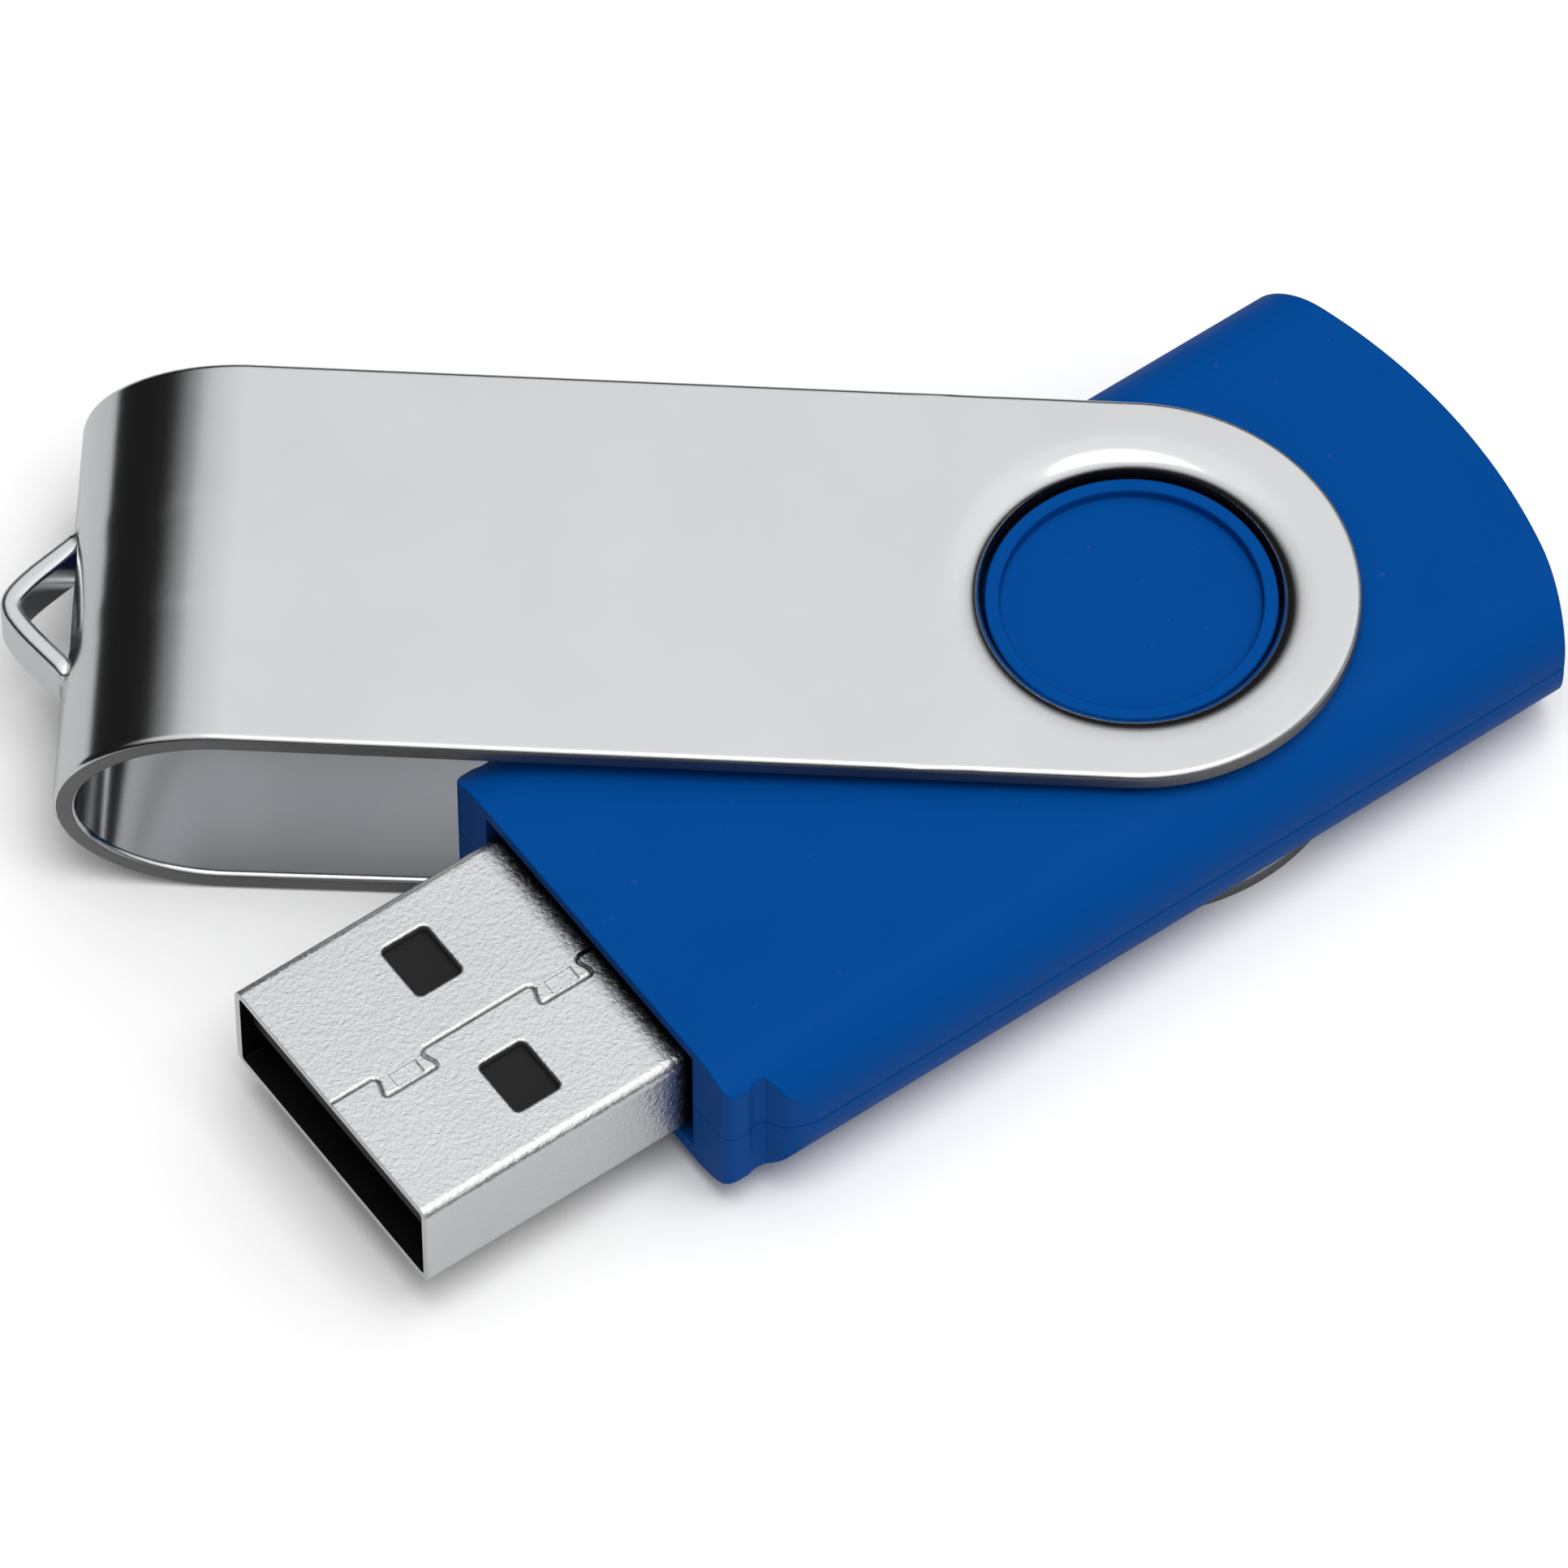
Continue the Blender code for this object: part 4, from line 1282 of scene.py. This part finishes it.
@dataclass
class PlugShell:
    """The plug's folded steel shell: four windows, the seam with its two tabs, and the tabs' dimples."""

    tip: float = -35.65
    end: float = -18.9
    width: float = 12.0
    height: float = 4.5
    middle: float = 4.6
    sheet: float = 0.3
    corner: float = 0.45
    window_length: float = 1.95
    window_width: float = 2.45
    window_from_tip: float = 6.15
    window_spread: float = 3.05
    window_corner: float = 0.22
    window_round: float = 0.13
    seam_width: float = 0.07
    seam_depth: float = 0.22
    seam_rounds: tuple[float, float] = (0.15, 0.03)
    tab_depth: float = 1.06
    tab_length: float = 2.1
    tab_flare: float = 0.14
    tab_starts: tuple[float, float] = (1.85, 8.65)
    dimple_length: float = 1.15
    dimple_width: float = 0.62
    dimple_depth: float = 0.1
    leg_overlap: float = 0.4
    leg_length: float = 2.3
    leg_heights: tuple[float, float] = (3.1, 4.5)

    @property
    def top(self) -> float:
        """The height of the plug's top face."""
        return self.middle + self.height / 2

    def tube(self) -> bpy.types.Object:
        """The plain tube, open at both ends."""
        half_width, half_height = self.width / 2, self.height / 2
        tube = add_box("tube", (self.tip, -half_width, self.middle - half_height),
                       (self.end, half_width, self.middle + half_height))
        edit(tube)
        pick_faces(lambda centre, normal: abs(normal.x) > 0.9)
        bpy.ops.mesh.delete(type="ONLY_FACE")
        pick_edges(lambda a, b: abs(a.x - b.x) > 1.0)
        bpy.ops.mesh.bevel(offset=self.corner, segments=6, affect="EDGES", clamp_overlap=False)
        leave_edit()
        wall = tube.modifiers.new("wall", "SOLIDIFY")
        wall.thickness = self.sheet
        wall.offset = -1.0
        wall.use_even_offset = True
        bpy.ops.object.modifier_apply(modifier=wall.name)
        return tube

    def window(self, side: int) -> bpy.types.Object:
        """The punch for the windows on one side, through top and bottom, with round corners.

        Args:
            side: -1 or 1.

        Returns:
            The punch.
        """
        x = self.tip + self.window_from_tip
        y = side * self.window_spread
        punch = add_box("punch", (x - self.window_length / 2, y - self.window_width / 2, 0.0),
                        (x + self.window_length / 2, y + self.window_width / 2, 9.0))
        edit(punch)
        pick_edges(lambda a, b: abs(a.z - b.z) > 1.0)
        bpy.ops.mesh.bevel(offset=self.window_corner, segments=4, affect="EDGES", clamp_overlap=False)
        leave_edit()
        return punch

    def seam_path(self) -> list[Flat]:
        """The middle of the seam in plan, from the tip to the case, round both tabs."""
        path = [(self.tip - 0.5, -0.12)]
        for start in self.tab_starts:
            near = self.tip + start
            far = near + self.tab_length
            flare, foot = self.tab_flare, -self.tab_depth
            # Round the near neck, the near corner, the far corner and the far neck of the tab.
            path += [(near - 0.12, -0.12), (near, -0.2), (near + 0.03, -0.32),
                     (near - flare, foot + 0.28), (near - flare + 0.03, foot + 0.08),
                     (near - flare + 0.17, foot), (far + flare - 0.17, foot),
                     (far + flare - 0.03, foot + 0.08), (far + flare, foot + 0.28),
                     (far - 0.03, -0.32), (far, -0.2), (far + 0.12, -0.12)]
        return path + [(self.end - 0.6, -0.12)]

    def seam_sides(self) -> tuple[list[Flat], list[Flat]]:
        """The two sides of the seam in plan.

        Returns:
            The side with the tabs, and the side that they lock into.
        """
        path = [Vector(point) for point in self.seam_path()]
        left, right = [], []
        for i, here in enumerate(path):
            before = path[max(0, i - 1)]
            after = path[min(len(path) - 1, i + 1)]
            ahead = (after - before).normalized()
            aside = Vector((-ahead.y, ahead.x)) * (self.seam_width / 2)
            left.append(tuple(here + aside))
            right.append(tuple(here - aside))
        return left, right

    def seam(self) -> bpy.types.Object:
        """The cutter for the seam, a thin wall along its path."""
        left, right = self.seam_sides()
        return add_prism("seam", left + right[::-1], self.top - self.seam_depth, self.top + SPARE)

    def on_line(self, place: Vector, line: Sequence[Flat]) -> bool:
        """Whether a place on the top face lies on a line in plan, away from the tip."""
        if abs(place.z - self.top) > NEAR:
            return False
        here = place.xy
        for a, b in zip(line, line[1:]):
            start, run = Vector(a), Vector(b) - Vector(a)
            share = min(1.0, max(0.0, (here - start).dot(run) / run.length_squared))
            if (start + run * share - here).length < NEAR:
                return True
        return False

    def dimple_box(self, start: float) -> tuple[float, float, float, float]:
        """A dimple's two ends and two sides in plan, from where its tab starts."""
        x = self.tip + start + self.tab_length / 2 + 0.05
        y = -self.tab_depth / 2 - 0.06
        length, width = self.dimple_length / 2, self.dimple_width / 2
        return x - length, x + length, y - width, y + width

    def dimple(self, start: float) -> bpy.types.Object:
        """The punch for a tab's dimple.

        Args:
            start: Where its tab starts, from the tip.

        Returns:
            The punch.
        """
        x0, x1, y0, y1 = self.dimple_box(start)
        return add_box("dimple", (x0, y0, self.top - self.dimple_depth), (x1, y1, self.top + SPARE))

    def dress(self, plug: bpy.types.Object, materials: dict[str, bpy.types.Material]) -> None:
        """Give the shell its steel, and its inside painted shade as a nearly black steel.

        Args:
            plug: The modelled shell, before it is settled.
            materials: The materials by name.
        """
        paint(plug, materials["plug_steel"])
        plug.data.materials.append(materials["shaded_steel"])
        for face in plug.data.polygons:
            _, y, z = face.center
            inward = (abs(y) < self.width / 2 - self.sheet + NEAR
                      and abs(z - self.middle) < self.height / 2 - self.sheet + NEAR)
            # The inside faces get painted shade: the nearly black steel.
            if inward:
                face.material_index = 1

    def build(self, materials: dict[str, bpy.types.Material]) -> bpy.types.Object:
        """Model, dress and install the shell.

        Args:
            materials: The materials by name.

        Returns:
            The finished shell.
        """
        plug = self.tube()
        for side in (-1, 1):
            work(plug, self.window(side), Cut.REMOVE)
        work(plug, self.seam(), Cut.REMOVE)
        for side in (-1, 1):
            outer = side * self.width / 2
            inner = outer - side * self.sheet
            low, high = self.leg_heights
            leg = add_box("leg", (self.end - self.leg_overlap, min(outer, inner), low),
                          (self.end + self.leg_length, max(outer, inner), high))
            work(plug, leg, Cut.JOIN)
        edit(plug)
        bpy.ops.mesh.select_all(action="SELECT")
        bpy.ops.mesh.remove_doubles(threshold=NEAR)
        x = self.tip + self.window_from_tip
        faces = (self.top, self.middle - self.height / 2)
        pick_edges(lambda a, b: all(abs(p.x - x) < self.window_length / 2 + NEAR
                                    and min(abs(p.z - face) for face in faces) < NEAR
                                    and abs(abs(p.y) - self.window_spread) < self.window_width / 2 + NEAR
                                    for p in (a, b)), 40.0)
        bpy.ops.mesh.bevel(offset=self.window_round, segments=4, affect="EDGES", clamp_overlap=False)
        for line, reach in zip(self.seam_sides(), self.seam_rounds):
            pick_edges(lambda a, b: self.on_line(a, line) and self.on_line(b, line), 40.0)
            bpy.ops.mesh.bevel(offset=reach, segments=4, affect="EDGES", clamp_overlap=False)
        leave_edit()
        for start in self.tab_starts:
            work(plug, self.dimple(start), Cut.REMOVE)
        smooth(plug, 35.0)
        self.dress(plug, materials)
        settle(plug, "plug_sleeve")
        install(plug, Body.DRIVE, "plug_steel", "plug_shell")
        return plug


# ---------------------------------------------------------------- the carried-over pieces

@dataclass
class Electronics:
    """The pieces that keep their CAD shape and get a fuller finish."""

    def dress(self, materials: dict[str, bpy.types.Material]) -> None:
        """Give each carried-over node the material of its slot.

        Args:
            materials: The materials by slot name.
        """
        for name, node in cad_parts.items():
            slots = [slot.name.split(".")[0] for slot in node.data.materials if slot]
            for number, slot in enumerate(slots):
                if slot in materials:
                    node.data.materials[number] = materials[slot]
            LOG.info("%s keeps its shape, finish %s", name, ", ".join(slots))


# ---------------------------------------------------------------- the studio

@dataclass
class Studio:
    """The pale floor, the soft surroundings, the lights and the camera."""

    azimuth: float = -35.86
    elevation: float = 55.72
    distance: float = 506.6
    aim_left: float = 12.67
    aim_down: float = 2.05
    lens: float = 314.7
    floor_size: float = 6000.0
    floor_gap: float = 0.02
    lamp_azimuth: float = -0.86
    lamp_elevation: float = 76.0
    lamp_size: float = 420.0
    sky: tuple[Flat, ...] = (
        (0.0, 0.012), (0.57, 0.012), (0.70, 0.33), (0.79, 0.76), (0.88, 0.88), (0.965, 1.0), (1.0, 1.12))

    def axes(self) -> tuple[Vector, Vector, Vector]:
        """The camera's right, up and backward directions."""
        turn, rise = math.radians(self.azimuth), math.radians(self.elevation)
        back = Vector((math.sin(turn) * math.cos(rise), -math.cos(turn) * math.cos(rise), math.sin(rise)))
        right = Vector((math.cos(turn), math.sin(turn), 0.0))
        return right, back.cross(right), back

    def camera(self) -> None:
        """Add the camera."""
        right, up, back = self.axes()
        aim = Vector((PIVOT[0], PIVOT[1], 0.0)) - right * self.aim_left - up * self.aim_down
        deselect_all()
        bpy.ops.object.camera_add(location=(aim + back * self.distance) * MM)
        camera = bpy.context.object
        camera.name = "camera"
        camera.rotation_euler = back.to_track_quat("Z", "Y").to_euler()
        camera.data.lens = self.lens
        camera.data.sensor_width = 36.0
        camera.data.clip_start = 0.01
        camera.data.clip_end = 50.0
        bpy.context.scene.camera = camera

    def floor(self) -> None:
        """Add the pale floor."""
        deselect_all()
        place = (0.0, 0.0, -self.floor_gap * MM)
        bpy.ops.mesh.primitive_plane_add(size=self.floor_size * MM, location=place)
        floor = bpy.context.object
        floor.name = "floor"
        material = bpy.data.materials.new("floor_paper")
        material.use_nodes = True
        tree = material.node_tree
        nodes, links = tree.nodes, tree.links
        nodes.clear()
        output = nodes.new("ShaderNodeOutputMaterial")
        output.label = "Paper surface"
        output.location = (500, 0)
        shader = nodes.new("ShaderNodeBsdfPrincipled")
        shader.label = "Matt white paper"
        shader.location = (200, 0)
        shader.inputs["Roughness"].default_value = 0.9
        shader.inputs["Specular IOR Level"].default_value = 0.1
        ray = nodes.new("ShaderNodeLightPath")
        ray.label = "Seen in a reflection"
        ray.location = (-300, 0)
        paper = nodes.new("ShaderNodeMix")
        paper.label = "White paper, greyer in reflections"
        paper.location = (0, 0)
        paper.data_type = "RGBA"
        paper.inputs["A"].default_value = (0.9, 0.9, 0.9, 1.0)
        paper.inputs["B"].default_value = (0.6, 0.6, 0.6, 1.0)
        links.new(ray.outputs["Is Glossy Ray"], paper.inputs["Factor"])
        links.new(paper.outputs["Result"], shader.inputs["Base Color"])
        links.new(shader.outputs["BSDF"], output.inputs["Surface"])
        paint(floor, material)

    def surroundings(self) -> None:
        """Set the world: dark near the horizon, bright from mid height up."""
        world = bpy.data.worlds.new("surroundings")
        bpy.context.scene.world = world
        world.use_nodes = True
        tree = world.node_tree
        nodes, links = tree.nodes, tree.links
        nodes.clear()
        output = nodes.new("ShaderNodeOutputWorld")
        output.label = "Surroundings"
        output.location = (600, 0)
        glow = nodes.new("ShaderNodeBackground")
        glow.label = "Soft white tent"
        glow.location = (400, 0)
        glow.inputs["Strength"].default_value = 1.0
        place = nodes.new("ShaderNodeTexCoord")
        place.label = "Direction"
        place.location = (-600, 0)
        split = nodes.new("ShaderNodeSeparateXYZ")
        split.label = "Height"
        split.location = (-400, 0)
        ramp = nodes.new("ShaderNodeValToRGB")
        ramp.label = "Dark below, white above"
        ramp.location = (-100, 0)
        ramp.color_ramp.interpolation = "EASE"
        elements = ramp.color_ramp.elements
        for element, (position, level) in zip(elements, (self.sky[0], self.sky[-1])):
            element.position, element.color = position, (level, level, level, 1.0)
        for position, level in self.sky[1:-1]:
            elements.new(position).color = (level, level, level, 1.0)
        side = nodes.new("ShaderNodeVectorMath")
        side.label = "How far to the right and front"
        side.location = (-400, -200)
        side.operation = "DOT_PRODUCT"
        side.inputs[1].default_value = (0.72, -0.69, 0.0)
        lift = nodes.new("ShaderNodeMapRange")
        lift.label = "White reaches lower on that side"
        lift.location = (-250, -200)
        lift.inputs["From Min"].default_value = -0.55
        lift.inputs["From Max"].default_value = 0.65
        lift.inputs["To Max"].default_value = 0.35
        height = nodes.new("ShaderNodeMath")
        height.label = "Height, lifted on that side"
        height.location = (-150, 100)
        links.new(place.outputs["Generated"], split.inputs["Vector"])
        links.new(place.outputs["Generated"], side.inputs[0])
        links.new(side.outputs["Value"], lift.inputs["Value"])
        links.new(split.outputs["Z"], height.inputs[0])
        links.new(lift.outputs["Result"], height.inputs[1])
        links.new(height.outputs["Value"], ramp.inputs["Fac"])
        links.new(ramp.outputs["Color"], glow.inputs["Color"])
        links.new(glow.outputs["Background"], output.inputs["Surface"])

    def lamp(self, name: str, distance: float, power: float, mirrored: bool) -> None:
        """Add one soft square lamp that faces the object, nearly overhead and a little to the front.

        Args:
            name: Its name.
            distance: How far off, in millimetres.
            power: Its power in watts.
            mirrored: Whether glossy surfaces show it.
        """
        turn, rise = math.radians(self.lamp_azimuth), math.radians(self.lamp_elevation)
        out = Vector((math.sin(turn) * math.cos(rise), -math.cos(turn) * math.cos(rise), math.sin(rise)))
        deselect_all()
        bpy.ops.object.light_add(type="AREA", location=out * distance * MM)
        lamp = bpy.context.object
        lamp.name = name
        lamp.rotation_euler = out.to_track_quat("Z", "Y").to_euler()
        lamp.data.shape = "SQUARE"
        lamp.data.size = self.lamp_size * MM
        lamp.data.energy = power
        lamp.visible_glossy = mirrored

    def build(self) -> None:
        """Build the whole studio."""
        self.camera()
        self.floor()
        self.surroundings()
        self.lamp("front_top_glow", 700.0, 1.0, True)
        self.lamp("front_top_fill", 710.0, 1.85, False)
        bpy.context.scene.view_settings.view_transform = "Standard"


# ---------------------------------------------------------------- assembly


def make_materials() -> dict[str, bpy.types.Material]:
    """Write out every finish, by its name.

    Returns:
        The materials.
    """
    moulded = (CASE_BLUE, INSULATOR_BLACK, BOARD_GREEN, CHIP_BLACK, CAPACITOR_TAN, RESISTOR_BLACK, LED_LENS)
    materials = {finish.name: make_plastic(finish) for finish in moulded}
    bare = (CLIP_STEEL, CUT_STEEL, SHADED_STEEL, PLUG_STEEL)
    materials |= {finish.name: make_steel(finish) for finish in bare}
    return materials | {finish.name: make_plated(finish) for finish in (CONTACT_GOLD, CRYSTAL_CAN)}


def main() -> None:
    """Build the drive and its studio."""
    logging.basicConfig(level=logging.INFO, format="%(name)s: %(message)s")
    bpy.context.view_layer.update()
    materials = make_materials()
    Electronics().dress(materials)
    SwivelClip().build(materials)
    for half in Half:
        CaseShell(half).build(materials["case_blue"])
    PlugShell().build(materials)
    Studio().build()


if __name__ == "__main__":
    main()
